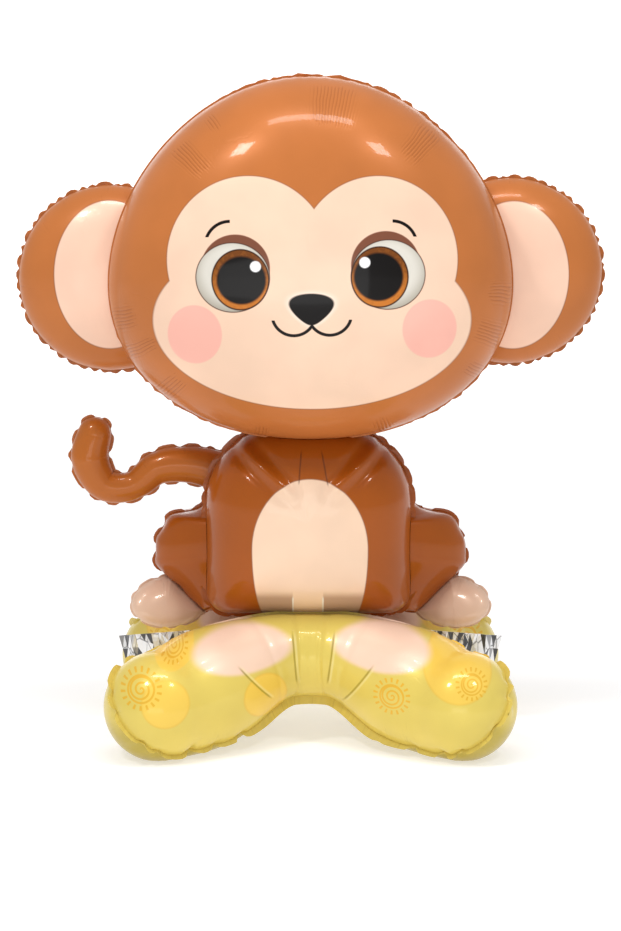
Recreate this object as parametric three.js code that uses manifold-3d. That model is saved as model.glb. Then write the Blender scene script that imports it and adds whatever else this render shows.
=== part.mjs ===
// Monkey foil balloon: a sitting monkey made of foil pillows that press on each other, on a base of two
// bent foil cushions with a crinkled silver strip between them.
// Millimetres, +Z up, the monkey looks along -Y. The origin is on the floor under the middle of the base.
import * as THREE from 'three';
import { mergeVertices } from 'three/addons/utils/BufferGeometryUtils.js';
import Module from 'manifold-3d';

const { clamp, degToRad, lerp, smoothstep } = THREE.MathUtils;

// Welded rims and gaps
const clearance = 0.3; // gap kept between two pieces that press on each other
const rimWidth = 5; // flat welded rim outside the inflated edge of every pillow
const rimThickness = 1.2; // two films and the weld, as a solid
const tailRimWidth = 4;
const puckerDepth = 1.6; // every second spoke of a pillow's edge is drawn in by this much
const puckerFade = 6; // power with which the puckers die out towards a pillow's middle

// Base: two bent cushions leaning on a strip, four lobes on the floor
const lobeRadius = 53; // inflated radius of a lobe
const lobeFlattening = 3.5; // how much of a lobe's radius is pressed flat on the floor
const lobeSpread = 146; // from the middle of the base to a lobe, sideways
const lobeReach = 128; // from the middle of the base to a lobe, forwards and backwards
const lobeSweep = 1.8; // power with which a cushion sweeps away from the middle of the base
const bendRadius = 42; // inflated radius of a cushion at its bend, in the middle
const bendSpan = 0.12; // share of a cushion's half length that stays up at the bend
const cushionSwell = 8; // how much fuller a cushion is between its bend and its lobes
const cushionSwellOut = 1.6; // power that moves the swell out from the bend towards the lobes
const archHeight = 43; // clear height under the bend
const lobeSeamTurn = degToRad(42); // how far the outer seam has turned down from level, at the lobes
const bendSeamTurn = degToRad(76); // the same under the bend, where it hangs along the arch

// Silver strip that stands between the cushions
const stripThickness = 1.6;
const stripHeight = 27;
const stripHalfLength = 194;
const stripEndSlant = 7.5; // how much shorter its bottom edge is, at each end
const stripRise = 19; // its top edge above the middle line of the cushions' bend
const stripTopDrop = 13; // how much lower the top edge is at the ends
const stripBowBack = 13; // how far the free ends lean backwards
const stripBowPower = 6;
const stripCrinkle = 1.1; // depth of its folds
const stripCrinkleFrom = 0.6; // share of the half length where the folds start

// Torso
const torsoHalfWidth = 102;
const torsoHeight = 197; // inflated height, from the bottom seam to the hidden top
const torsoShoulderRise = 84; // height of the arched part
const torsoCornerRadius = 22;
const torsoHalfThickness = 68;
const torsoShift = -2; // sideways, from the middle of the head
const torsoSink = 7; // how far the bottom seam sits below the tops of the cushions
const torsoForward = 12;

// Head
const headHalfWidth = 194;
const headHalfHeight = 176;
const headTaper = 0.135; // how much wider the cheeks are than the crown
const headFullness = 2.05; // 2 is an ellipse, and more is squarer
const headHalfThickness = 105;
const headForward = 45;
const neckOverlap = 18; // how far the torso's hidden top rises behind the chin

// Ears
const earRadius = 92;
const earHalfThickness = 44;
const earOut = 3.5; // the ear's middle beyond the head's inflated edge
const earSetBack = 53; // from the head's seam plane to the ears' seam plane
const earLeftDrop = 21.5; // the left ear's middle below the head's middle
const earRightDrop = 14.5;

// Rear balloon: haunches, feet and tail. Heights are above the torso's bottom seam.
const haunchHalfThickness = 54;
const haunchReach = 56; // how far a haunch stands out beside the torso
const haunchBack = 34; // from the torso's seam plane to the rear balloon's seam plane
const haunchTop = 103;
const haunchWeldRise = -12; // where the line of the haunch's weld to the foot meets the torso's side
const humpTop = 162; // hidden part behind the back, which the tail grows from
const footHalfLength = 39;
const footHalfHeight = 24.5;
const footHalfThickness = 19;
const footOut = 39; // the foot's middle beside the torso's side
const footUp = 7;
const footOverlap = 4; // how far the foot's film runs on behind its weld to the haunch
const footFold = 0.62; // how far a foot folds forwards along its weld, for each mm below it

// The haunch's outline from the middle of the bottom to the top: out beside the torso's side, and up
const haunchOutline = [
  [-10, -4],
  [8, -4],
  [30, 18],
  [haunchReach - 3, haunchReach - 15],
  [haunchReach, 52],
  [haunchReach - 2, 72],
  [haunchReach - 16, haunchTop - 9],
  [8, haunchTop],
  [-10, (haunchTop + humpTop) / 2],
  [-45, humpTop - 8],
];

// The tail's middle line from its tip: out beside the torso's side, up, and the inflated radius there
const tailRoute = [
  [115, 176, 15.5],
  [120, 150, 18],
  [105, 124, 14.5],
  [76, 124, 13],
  [51, 142, 15.5],
  [20, 145, 17],
  [-10, 138, 19],
  [-40, 124, 19],
];

const brownFilm = { color: 0xb8723c, roughness: 0.32, metalness: 0.25 };
const darkBrownFilm = { color: 0xa9602e, roughness: 0.32, metalness: 0.25 };
const yellowFilm = { color: 0xecd97e, roughness: 0.35, metalness: 0.2 };
const silverFilm = { color: 0xc9ccd0, roughness: 0.2, metalness: 1 };

const wasm = await Module();
wasm.setup();

// A closed solid from vertices and triangles, with doubled vertices merged
function solidFrom(positions, indices) {
  const loose = new THREE.BufferGeometry();
  loose.setAttribute('position', new THREE.Float32BufferAttribute(positions.flat(), 3));
  loose.setIndex(indices);
  const merged = mergeVertices(loose);
  const triangles = [];
  for (let i = 0; i < merged.index.count; i += 3) {
    const corners = [0, 1, 2].map((corner) => merged.index.getX(i + corner));
    if (new Set(corners).size === 3) triangles.push(...corners);
  }
  const vertProperties = Float32Array.from(merged.attributes.position.array);
  const triVerts = Uint32Array.from(triangles);
  return new wasm.Manifold(new wasm.Mesh({ numProp: 3, vertProperties, triVerts }));
}

function geometryFrom(solid) {
  const mesh = solid.getMesh();
  const geometry = new THREE.BufferGeometry();
  geometry.setAttribute('position', new THREE.BufferAttribute(Float32Array.from(mesh.vertProperties), 3));
  geometry.setIndex(new THREE.BufferAttribute(Uint32Array.from(mesh.triVerts), 1));
  geometry.computeVertexNormals();
  return geometry;
}

// The solid with every point moved out along its normal, which cuts a neighbour with a gap
function grown(solid) {
  const geometry = geometryFrom(solid);
  const place = geometry.attributes.position;
  const positions = [];
  for (let i = 0; i < place.count; i++) {
    const out = new THREE.Vector3().fromBufferAttribute(geometry.attributes.normal, i);
    const point = new THREE.Vector3().fromBufferAttribute(place, i).addScaledVector(out, clearance);
    positions.push(point.toArray());
  }
  return solidFrom(positions, Array.from(geometry.index.array));
}

// Triangles between stacked rings of equally many points, which run the same way round in every ring
function skin(pointsPerRing, ringCount) {
  const indices = [];
  for (let ring = 0; ring + 1 < ringCount; ring++) {
    for (let i = 0; i < pointsPerRing; i++) {
      const a = ring * pointsPerRing + i;
      const b = ring * pointsPerRing + ((i + 1) % pointsPerRing);
      indices.push(a, b, b + pointsPerRing, a, b + pointsPerRing, a + pointsPerRing);
    }
  }
  return indices;
}

// A flat closed outline blown up: two domes that meet in a welded rim.
// The outline is a list of points in X and Z, and level() gives the depth of the seam at a point.
function pillow({ outline, middle, halfThickness, domeRings, level }) {
  const positions = [];
  const spokes = outline.length;
  const addRing = (share, height, reach) => {
    outline.forEach((edge, i) => {
      const spoke = edge.clone().sub(middle);
      const pucker = i % 2 ? puckerDepth * share ** puckerFade : 0;
      const point = spoke.setLength(spoke.length() * share - pucker + reach).add(middle);
      positions.push([point.x, level(point) + height, point.y]);
    });
  };
  const rise = halfThickness - rimThickness / 2;
  const dome = [];
  for (let ring = 1; ring <= domeRings; ring++) {
    const lean = (ring / domeRings) * (Math.PI / 2);
    dome.push({ share: Math.sin(lean) ** (2 / 3), height: rimThickness / 2 + rise * Math.cos(lean) });
  }
  dome.forEach(({ share, height }) => addRing(share, height, 0));
  addRing(1, rimThickness / 2, rimWidth);
  addRing(1, -rimThickness / 2, rimWidth);
  dome.toReversed().forEach(({ share, height }) => addRing(share, -height, 0));
  const ringCount = 2 * domeRings + 2;
  const indices = skin(spokes, ringCount);
  const back = positions.push([middle.x, level(middle) + halfThickness, middle.y]) - 1;
  const front = positions.push([middle.x, level(middle) - halfThickness, middle.y]) - 1;
  const frontRing = (ringCount - 1) * spokes;
  for (let i = 0; i < spokes; i++) {
    const next = (i + 1) % spokes;
    indices.push(back, next, i);
    indices.push(front, frontRing + i, frontRing + next);
  }
  return solidFrom(positions, indices);
}

// A round tube along a curve, with round ends and a welded rim down both sides and round the ends.
// seamAt() gives the direction from the curve to its first rim, at a share of its length.
function tubePillow({ curve, radiusAt, seamAt, stations, sides, rim }) {
  const positions = [];
  const capStations = Math.round(stations / 7);
  for (let station = 0; station <= stations; station++) {
    const fromEnd = Math.min(station, stations - station);
    const turn = (Math.PI / 2) * (1 - Math.min(1, fromEnd / capStations));
    const end = station < stations / 2 ? -1 : 1;
    const along = clamp((station - capStations) / (stations - 2 * capStations), 0, 1);
    const radius = radiusAt(along);
    const width = radius * Math.cos(turn);
    const tangent = curve.getTangent(along);
    const across = seamAt(along);
    across.addScaledVector(tangent, -across.dot(tangent)).normalize();
    const up = new THREE.Vector3().crossVectors(tangent, across);
    const centre = curve.getPoint(along).addScaledVector(tangent, end * radius * Math.sin(turn));
    const place = (right, high, forward) => {
      const point = centre.clone().addScaledVector(across, right).addScaledVector(up, high);
      positions.push(point.addScaledVector(tangent, forward).toArray());
    };
    for (const way of [1, -1]) {
      const tip = way * (width + rim * Math.cos(turn));
      const ahead = end * rim * Math.sin(turn);
      place(tip, (-way * rimThickness) / 2, ahead);
      place(tip, (way * rimThickness) / 2, ahead);
      for (let step = 0; step <= sides / 2; step++) {
        const angle = (2 * Math.PI * step) / sides;
        place(way * width * Math.cos(angle), way * Math.max(width * Math.sin(angle), rimThickness / 2), 0);
      }
    }
  }
  return solidFrom(positions, skin(positions.length / (stations + 1), stations + 1));
}

// Points at even steps round a closed smooth curve
function smoothOutline(corners, count) {
  const curve = new THREE.CatmullRomCurve3(corners.map(([x, z]) => new THREE.Vector3(x, 0, z)), true);
  return curve.getSpacedPoints(count).slice(0, count).map((point) => new THREE.Vector2(point.x, point.z));
}

// Points round an ellipse, each passed through a function that shapes it
function roundOutline(halfWidth, halfHeight, count, shape) {
  const points = [];
  for (let i = 0; i < count; i++) {
    const angle = (i / count) * 2 * Math.PI;
    points.push(shape(halfWidth * Math.cos(angle), halfHeight * Math.sin(angle)));
  }
  return points;
}

// Heights and reach of the base
const lobeHeight = lobeRadius - lobeFlattening;
const bendHeight = archHeight + bendRadius;
const bendReach = bendRadius + rimWidth;
const cushionTop = bendHeight + bendRadius;

function stripSolid() {
  const positions = [];
  const stations = 36;
  for (let station = 0; station <= stations; station++) {
    const share = (2 * station) / stations - 1;
    const crinkle = Math.abs(share) > stripCrinkleFrom ? stripCrinkle * (-1) ** station : 0;
    const y = stripBowBack * share ** stripBowPower + crinkle;
    const top = bendHeight + stripRise - stripTopDrop * share ** 2;
    const front = y - stripThickness / 2;
    const back = y + stripThickness / 2;
    const high = share * stripHalfLength;
    const low = share * (stripHalfLength - stripEndSlant);
    positions.push([low, front, top - stripHeight], [low, back, top - stripHeight]);
    positions.push([high, back, top], [high, front, top]);
  }
  const last = 4 * stations;
  const ends = [0, 2, 1, 0, 3, 2, last, last + 1, last + 2, last, last + 2, last + 3];
  return solidFrom(positions, [...skin(4, stations + 1), ...ends]);
}

// A cushion of the base: a fat tube from lobe to lobe, bent upwards and inwards in the middle
function cushionSolid(side) {
  const points = [];
  const halfSteps = 6;
  for (let step = -halfSteps; step <= halfSteps; step++) {
    const share = step / halfSteps;
    const out = Math.abs(share);
    const y = side * lerp(bendReach, lobeReach, out ** lobeSweep);
    const z = lerp(bendHeight, lobeHeight, smoothstep(out, bendSpan, 1));
    points.push(new THREE.Vector3(share * lobeSpread, y, z));
  }
  const radiusAt = (along) => {
    const out = Math.abs(2 * along - 1);
    const swell = cushionSwell * Math.sin(Math.PI * out ** cushionSwellOut) ** 2;
    return lerp(bendRadius, lobeRadius, smoothstep(out, 0, 1)) + swell;
  };
  const seamAt = (along) => {
    const turn = lerp(bendSeamTurn, lobeSeamTurn, smoothstep(Math.abs(2 * along - 1), 0, 1));
    return new THREE.Vector3(0, side * Math.cos(turn), -Math.sin(turn));
  };
  const curve = new THREE.CatmullRomCurve3(points);
  return tubePillow({ curve, radiusAt, seamAt, stations: 26, sides: 12, rim: rimWidth });
}

// Everything below the floor, which presses the lobes flat
function floorSolid() {
  const depth = 2 * lobeRadius;
  const box = new THREE.BoxGeometry(4 * (lobeSpread + lobeRadius), 4 * (lobeReach + lobeRadius), depth);
  box.translate(0, 0, -depth / 2);
  const place = box.attributes.position;
  const positions = [];
  for (let i = 0; i < place.count; i++) {
    positions.push(new THREE.Vector3().fromBufferAttribute(place, i).toArray());
  }
  return solidFrom(positions, Array.from(box.index.array));
}

// Torso: an arched top over upright sides with rounded bottom corners
const torsoBottom = cushionTop - torsoSink;
const torsoTop = torsoBottom + torsoHeight;
const torsoLevel = -torsoForward;

function torsoSolid() {
  const shoulder = torsoTop - torsoShoulderRise;
  const cornerOut = torsoHalfWidth - torsoCornerRadius;
  const cornerUp = torsoBottom + torsoCornerRadius;
  const shape = new THREE.Shape();
  shape.moveTo(torsoHalfWidth, shoulder);
  shape.absellipse(0, shoulder, torsoHalfWidth, torsoShoulderRise, 0, Math.PI, false);
  shape.lineTo(-torsoHalfWidth, cornerUp);
  shape.absarc(-cornerOut, cornerUp, torsoCornerRadius, Math.PI, 1.5 * Math.PI, false);
  shape.absarc(cornerOut, cornerUp, torsoCornerRadius, 1.5 * Math.PI, 2 * Math.PI, false);
  shape.closePath();
  const spokes = 48;
  return pillow({
    outline: shape.getSpacedPoints(spokes).slice(0, spokes).map((point) => point.setX(point.x + torsoShift)),
    middle: new THREE.Vector2(torsoShift, (torsoBottom + torsoTop) / 2),
    halfThickness: torsoHalfThickness,
    domeRings: 5,
    level: () => torsoLevel,
  });
}

// Head: an egg standing on its wide end
const headMiddle = torsoTop - neckOverlap + headHalfHeight;
const headLevel = -headForward;

function headSolid() {
  const fuller = (share) => Math.sign(share) * Math.abs(share) ** (2 / headFullness);
  const outline = roundOutline(1, 1, 56, (right, up) => {
    const width = headHalfWidth * (1 - headTaper * fuller(up));
    return new THREE.Vector2(width * fuller(right), headMiddle + headHalfHeight * fuller(up));
  });
  return pillow({
    outline,
    middle: new THREE.Vector2(0, headMiddle),
    halfThickness: headHalfThickness,
    domeRings: 6,
    level: () => headLevel,
  });
}

function earSolid(side, drop) {
  const middle = new THREE.Vector2(side * (headHalfWidth + earOut), headMiddle - drop);
  return pillow({
    outline: roundOutline(earRadius, earRadius, 36, (right, up) => new THREE.Vector2(right, up).add(middle)),
    middle,
    halfThickness: earHalfThickness,
    domeRings: 4,
    level: () => headLevel + earSetBack,
  });
}

// Rear balloon: its seam lies in one plane, and each foot folds forwards along its weld to the haunch
const haunchLevel = torsoLevel + haunchBack;
const weldStart = new THREE.Vector2(torsoHalfWidth, torsoBottom + haunchWeldRise);
const weldDown = new THREE.Vector2(1, -1).normalize();
const belowWeld = (point) => new THREE.Vector2(Math.abs(point.x), point.y).sub(weldStart).dot(weldDown);
const rearLevel = (point) => haunchLevel - footFold * Math.max(0, belowWeld(point));

function haunchesSolid() {
  const right = haunchOutline.map(([out, up]) => [torsoHalfWidth + out, torsoBottom + up]);
  const left = right.toReversed().map(([x, z]) => [-x, z]);
  return pillow({
    outline: smoothOutline([...right, [0, torsoBottom + humpTop], ...left], 52),
    middle: new THREE.Vector2(0, torsoBottom + humpTop / 2),
    halfThickness: haunchHalfThickness,
    domeRings: 4,
    level: rearLevel,
  });
}

function footSolid(side) {
  const outline = roundOutline(footHalfLength, footHalfHeight, 20, (right, up) => {
    const point = new THREE.Vector2(torsoHalfWidth + footOut + right, torsoBottom + footUp + up);
    point.addScaledVector(weldDown, Math.max(0, -footOverlap - belowWeld(point)));
    return point.setX(side * point.x);
  });
  if (side < 0) outline.reverse();
  const middle = new THREE.Vector2();
  outline.forEach((point) => middle.addScaledVector(point, 1 / outline.length));
  return pillow({ outline, middle, halfThickness: footHalfThickness, domeRings: 3, level: rearLevel });
}

function tailSolid() {
  const points = tailRoute.map(([out, up]) => (
    new THREE.Vector3(-torsoHalfWidth - out, haunchLevel, torsoBottom + up)
  ));
  const curve = new THREE.CatmullRomCurve3(points);
  const radiusAt = (along) => {
    const place = along * (tailRoute.length - 1);
    const low = Math.min(Math.floor(place), tailRoute.length - 2);
    return lerp(tailRoute[low][2], tailRoute[low + 1][2], place - low);
  };
  const backwards = new THREE.Vector3(0, 1, 0);
  const seamAt = (along) => new THREE.Vector3().crossVectors(curve.getTangent(along), backwards);
  return tubePillow({ curve, radiusAt, seamAt, stations: 22, sides: 8, rim: tailRimWidth });
}

// Each piece is cut by what presses on it, with the gap between them
const cutBy = (solid, ...neighbours) => neighbours.reduce((left, piece) => left.subtract(piece), solid);
const strip = stripSolid();
const head = headSolid();
const torso = torsoSolid();
const frontCushion = cushionSolid(-1);
const rearCushion = cushionSolid(1);
const rear = haunchesSolid().add(footSolid(-1)).add(footSolid(1)).add(tailSolid());
const stripRoom = grown(strip);
const headRoom = grown(head);
const baseRoom = grown(frontCushion).add(grown(rearCushion)).add(stripRoom);
const floor = floorSolid();

const group = new THREE.Group();

function addPiece(name, solid, film) {
  const mesh = new THREE.Mesh(geometryFrom(solid), new THREE.MeshStandardMaterial(film));
  mesh.name = name;
  group.add(mesh);
}

addPiece('head', head, brownFilm);
addPiece('ear_left', cutBy(earSolid(-1, earLeftDrop), headRoom), brownFilm);
addPiece('ear_right', cutBy(earSolid(1, earRightDrop), headRoom), brownFilm);
addPiece('torso', cutBy(torso, headRoom, baseRoom), darkBrownFilm);
addPiece('haunches_feet_tail', cutBy(rear, grown(torso), headRoom, baseRoom), darkBrownFilm);
addPiece('base_front_cushion', cutBy(frontCushion, stripRoom, floor), yellowFilm);
addPiece('base_rear_cushion', cutBy(rearCushion, stripRoom, floor), yellowFilm);
addPiece('silver_strip', strip, silverFilm);

export default group;
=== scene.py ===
"""Monkey foil balloon: inflated film pillows with printed faces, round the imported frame."""
import math
import random

import bpy
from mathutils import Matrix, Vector


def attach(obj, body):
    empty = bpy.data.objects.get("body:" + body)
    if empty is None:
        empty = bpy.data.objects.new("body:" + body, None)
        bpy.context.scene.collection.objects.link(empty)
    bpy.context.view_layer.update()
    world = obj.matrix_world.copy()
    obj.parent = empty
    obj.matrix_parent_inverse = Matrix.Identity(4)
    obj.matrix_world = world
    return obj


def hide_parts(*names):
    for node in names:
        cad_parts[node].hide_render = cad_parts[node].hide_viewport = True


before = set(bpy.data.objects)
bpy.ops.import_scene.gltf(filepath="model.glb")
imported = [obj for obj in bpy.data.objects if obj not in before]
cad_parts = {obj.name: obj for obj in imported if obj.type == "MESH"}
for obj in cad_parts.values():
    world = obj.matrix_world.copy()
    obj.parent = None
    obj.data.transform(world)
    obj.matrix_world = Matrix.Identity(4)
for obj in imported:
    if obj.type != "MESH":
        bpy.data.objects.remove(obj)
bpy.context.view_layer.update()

MM = 0.001

# Sizes of the film balloons, in millimetres, as in the frame
HEAD_HALF_WIDTH, HEAD_HALF_HEIGHT, HEAD_HALF_THICKNESS = 194, 176, 105
HEAD_TAPER, HEAD_FULLNESS = 0.135, 2.05
HEAD_MIDDLE, HEAD_LEVEL = 475, -45
EAR_RADIUS, EAR_HALF_THICKNESS, EAR_OUT, EAR_LEVEL = 92, 44, 197.5, 8
EAR_LEFT_UP, EAR_RIGHT_UP = 453.5, 460.5
TORSO_HALF_WIDTH, TORSO_BOTTOM, TORSO_TOP, TORSO_HALF_THICKNESS = 102, 120, 317, 68
TORSO_SHOULDER_RISE, TORSO_CORNER, TORSO_SHIFT, TORSO_LEVEL = 84, 22, -2, -12
HAUNCH_HALF_THICKNESS, HAUNCH_LEVEL, HAUNCH_MIDDLE = 54, 22, 201
WELD_OUT, WELD_UP, FOOT_FOLD, FOOT_OVERLAP = 102, 108, 0.62, 3
FOOT_OUT, FOOT_UP, FOOT_LENGTH, FOOT_HEIGHT, FOOT_THICKNESS = 141, 127, 39, 24.5, 19
LOBE_RADIUS, LOBE_HEIGHT, LOBE_SPREAD, LOBE_REACH, LOBE_SWEEP = 53, 49.5, 146, 128, 1.8
BEND_RADIUS, BEND_HEIGHT, BEND_REACH, BEND_SPAN = 40.5, 83.8, 47, 0.12
CUSHION_SWELL, CUSHION_SWELL_OUT = 8, 1.6
LOBE_SEAM_TURN, BEND_SEAM_TURN = math.radians(42), math.radians(76)
RIM_WIDTH, RIM_THICKNESS, CONTACT_GAP = 5.0, 0.8, 0.35
STRIP_TOP, STRIP_HEIGHT = 104, 27

HAUNCH_OUTLINE = [(92, 116), (110, 116), (132, 138), (155, 161), (158, 172), (156, 192), (142, 214),
                  (110, 223), (92, 252.5), (57, 274)]
HUMP_TOP = (0, 282)
TAIL_ROUTE = [(-217, 296, 15.5), (-222, 270, 18), (-207, 244, 14.5), (-178, 244, 13), (-153, 262, 15.5),
              (-122, 265, 17), (-92, 258, 19), (-62, 244, 19)]

# Soft folds on the torso's front, from the neck towards the belly
TORSO_FOLDS = [((-66, 290), (-22, 250)), ((64, 290), (24, 252))]

# Creases on the torso's front, from point to point: two below the neck, painted as dark shade lines and
# pressed in, and two short ones low down, painted as pale highlights
NECK_CREASES = [((-8.7, 292), (-11.5, 256)), ((10.3, 292), (17.5, 254))]
LOW_CREASE_HIGHLIGHTS = [((-17.3, 146), (-17.3, 122)), ((12.3, 146), (12.3, 122))]

# Printed ovals of the face: middle in X and Z, half width, half height, in millimetres
FACE_OVALS = [(-57.9, 478.3, 77.1, 78.4), (63.1, 478.3, 75.3, 78.4), (1.5, 420.1, 150.7, 84.0)]
EYES = {
    "left": dict(white=(-72.8, 462.4), lid=(-70.2, 470.9), iris=(-65.6, 460.4), pupil=(-64.7, 459.9),
                 glint=(-51.4, 472.8)),
    "right": dict(white=(72.8, 465.2), lid=(70.2, 474.1), iris=(64.7, 463.0), pupil=(63.6, 463.3),
                  glint=(50.7, 476.6)),
}
EYE_WHITE_HALF = (34.2, 32.0)
LID_HALF = (32.4, 31.7)
IRIS_HALF = (27.3, 28.8)
PUPIL_HALF = (22.1, 21.5)
GLINT_HALF = 5.1
CHEEKS = [(-109.1, 408.2), (112.3, 413.7)]
CHEEK_HALF = (25.9, 27.9)
BROWS = [(-75.3, 491.4, -900, -75.3, 499.8), (76.2, 491.8, 76.6, 900, 500.4)]
NOSE = (0.9, 433.1)
SMILE = [(-15.7, 428.4, -36.5, 1.2, 422.4), (18.1, 428.9, 1.2, 39.0, 423.2)]

# Printed spots on the base: middle in X and Z, half width, half height
PINK_SPOTS = [(-65.5, 101.0, 47.0, 20.5), (68.5, 103.0, 46.0, 20.5)]
GOLD_SPOTS = [(-137.0, 61.3, 22.4, 21.9), (-43.4, 56.1, 20.0, 21.8), (140.0, 92.0, 32.0, 30.0),
              (-131.0, 108.0, 19.0, 18.0)]
# Spiral suns: middle in X and Z, radius, and height as a share of the width
SUNS = [(-160.1, 75.2, 12.6, 0.94), (-131.0, 107.5, 8.3, 0.95), (77.6, 62.0, 10.9, 1.0),
        (152.2, 79.6, 9.6, 0.92)]

# Creases that run from the base's front down to the arch, painted as olive shade lines with a pale painted
# highlight beside each, and pressed in as dents
BEND_CREASES = [((-71, 90), (-36, 50)), ((-17.8, 116), (-13, 60)), ((23.6, 116), (16, 60)),
                ((62, 90), (30, 45))]

# Dents round the bend of the base: place along it from its middle, and depth
BEND_DENTS = [(-0.34, 0.8), (-0.11, 1.5), (0.1, 1.5), (0.33, 0.8)]

# Where the head's weld hardly shows, down both sides and below the chin: middle and spread as shares of the
# seam, and how much wider the weld is there
CALM_HEAD = [(0.0, 0.11, -0.5), (0.43, 0.14, -0.5), (0.75, 0.1, -0.4)]
# Where the base's weld runs smooth, round the arch, where it's wide, and at the back of the bend
CALM_WELD = [(0.25, 0.1, 0.7), (0.75, 0.16, -0.5)]

# Groups of long puckers: middle and spread as shares of the seam, how many, depth, and reach
HEAD_GROUPS = [(0.41, 0.03, 6, 1.1, 56), (0.12, 0.035, 7, 1.1, 62), (0.23, 0.08, 8, 0.9, 44),
               (0.54, 0.07, 8, 1.0, 40), (0.94, 0.05, 6, 1.0, 42), (0.62, 0.04, 5, 0.9, 40),
               (0.85, 0.03, 4, 0.9, 36), (0.76, 0.05, 4, 0.8, 30)]
TORSO_GROUPS = [(0.77, 0.1, 5, 1.4, 20)]

# Bunches of pleats on the head: share of the seam, half spread, and start and end from the weld in mm
HEAD_PLEATS = [(0.222, 38, 46, 112), (0.13, 22, 44, 108), (0.372, 20, 52, 112), (0.335, 10, 44, 84),
               (0.535, 20, 22, 84), (0.565, 14, 30, 96), (0.61, 20, 24, 88), (0.972, 18, 22, 84),
               (0.935, 20, 28, 92), (0.9, 14, 20, 74), (0.70, 12, 20, 66), (0.805, 14, 20, 72)]
PLEAT_PITCH, PLEAT_HEIGHT = 3.6, 0.3

# The film's roughness where it's clean
FILM_ROUGHNESS = 0.3
# How a dome of film falls from its pole to its seam, and how much of a pucker draws in the seam itself
DOME_POWER, SEAM_DRAW = 3, 0.8
# Rough lengths of two seams, which are corrected once the film is made
TAIL_SEAM, CUSHION_SEAM = 480, 880

# The camera and the studio, in metres. A light is a name, place, aim, size and watts
CAMERA_PLACE, CAMERA_AIM = (0, -2.6, 0.6), (0, 0, 0.2665)
CAMERA_LENS, CAMERA_SENSOR = 101.36, 36
BACKDROP_AWAY, BACKDROP_WIDTH, BACKDROP_HEIGHT, BACKDROP_CURVE = 7.0, 16, 3.5, 0.9
WORLD_LIGHT = 0.52
LIGHTS = [("overhead", (0.0, -0.6, 2.2), (0, 0, 0.4), (1.1, 0.2), 12),
          ("left key", (-1.05, -1.25, 2.15), (0, 0, 0.35), (0.3, 0.3), 14),
          ("right key", (1.05, -1.25, 2.15), (0, 0, 0.35), (0.3, 0.3), 9),
          ("low fill", (-0.3, -2.9, 0.2), (0, 0, 0.3), (1.6, 0.5), 5),
          ("backdrop wash", (0, 5.0, 3.2), (0, 7.0, 0.6), (5.0, 1.0), 150)]


def lerp(a, b, share):
    return a + (b - a) * share


def smooth(share):
    share = min(1.0, max(0.0, share))
    return share * share * (3 - 2 * share)


def only(piece):
    """Select one object and nothing else."""
    bpy.ops.object.select_all(action="DESELECT")
    piece.select_set(True)
    bpy.context.view_layer.objects.active = piece


def finish_modifier(piece, kind, **settings):
    only(piece)
    modifier = piece.modifiers.new(kind.title(), kind)
    for name, value in settings.items():
        setattr(modifier, name, value)
    bpy.ops.object.modifier_apply(modifier=modifier.name)


def edit_all(piece, operator, **settings):
    """Run one edit mode operator on the whole of a piece."""
    only(piece)
    bpy.ops.object.mode_set(mode="EDIT")
    bpy.ops.mesh.select_all(action="SELECT")
    operator(**settings)
    bpy.ops.object.mode_set(mode="OBJECT")


def refine(piece):
    """Cut every face in four, with the new points on the soft surface."""
    edit_all(piece, bpy.ops.mesh.subdivide, number_cuts=1, smoothness=1.0)


def settle(piece):
    """Object at the origin, unturned and unscaled, with its place in its mesh."""
    only(piece)
    bpy.ops.object.transform_apply(location=True, rotation=True, scale=True)


def join(pieces, name):
    only(pieces[0])
    for piece in pieces:
        piece.select_set(True)
    bpy.ops.object.join()
    pieces[0].name = name
    pieces[0].data.name = name
    return pieces[0]


def ball(name, around, along):
    """A sphere primitive with its poles along Y, and each vertex's step round it and from its back pole."""
    bpy.ops.mesh.primitive_uv_sphere_add(segments=around, ring_count=along, radius=1,
                                         rotation=(math.pi / 2, 0, 0))
    piece = bpy.context.object
    piece.name = name
    settle(piece)
    steps = []
    for vertex in piece.data.vertices:
        x, y, z = vertex.co
        turn = math.atan2(z, x) / (2 * math.pi) * around
        lean = math.acos(max(-1.0, min(1.0, y))) / math.pi * along
        steps.append((round(turn) % around, round(lean)))
    return piece, steps


def place(piece, points):
    flat = [value * MM for point in points for value in point]
    piece.data.vertices.foreach_set("co", flat)
    piece.data.update()


def film_map(piece, steps, around, along_seam, from_seam):
    """UVs in metres: along the seam, and across the film from the seam."""
    layer = piece.data.uv_layers.active or piece.data.uv_layers.new(name="film")
    layer.name = "film"
    for face in piece.data.polygons:
        corners = [piece.data.loops[i].vertex_index for i in face.loop_indices]
        turns = [steps[corner][0] for corner in corners]
        wraps = max(turns) - min(turns) > around / 2
        for loop, corner in zip(face.loop_indices, corners):
            turn, ring = steps[corner]
            if wraps and turn < around / 2:
                turn += around
            layer.data[loop].uv = (along_seam(turn, ring) * MM, from_seam(turn, ring) * MM)


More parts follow.
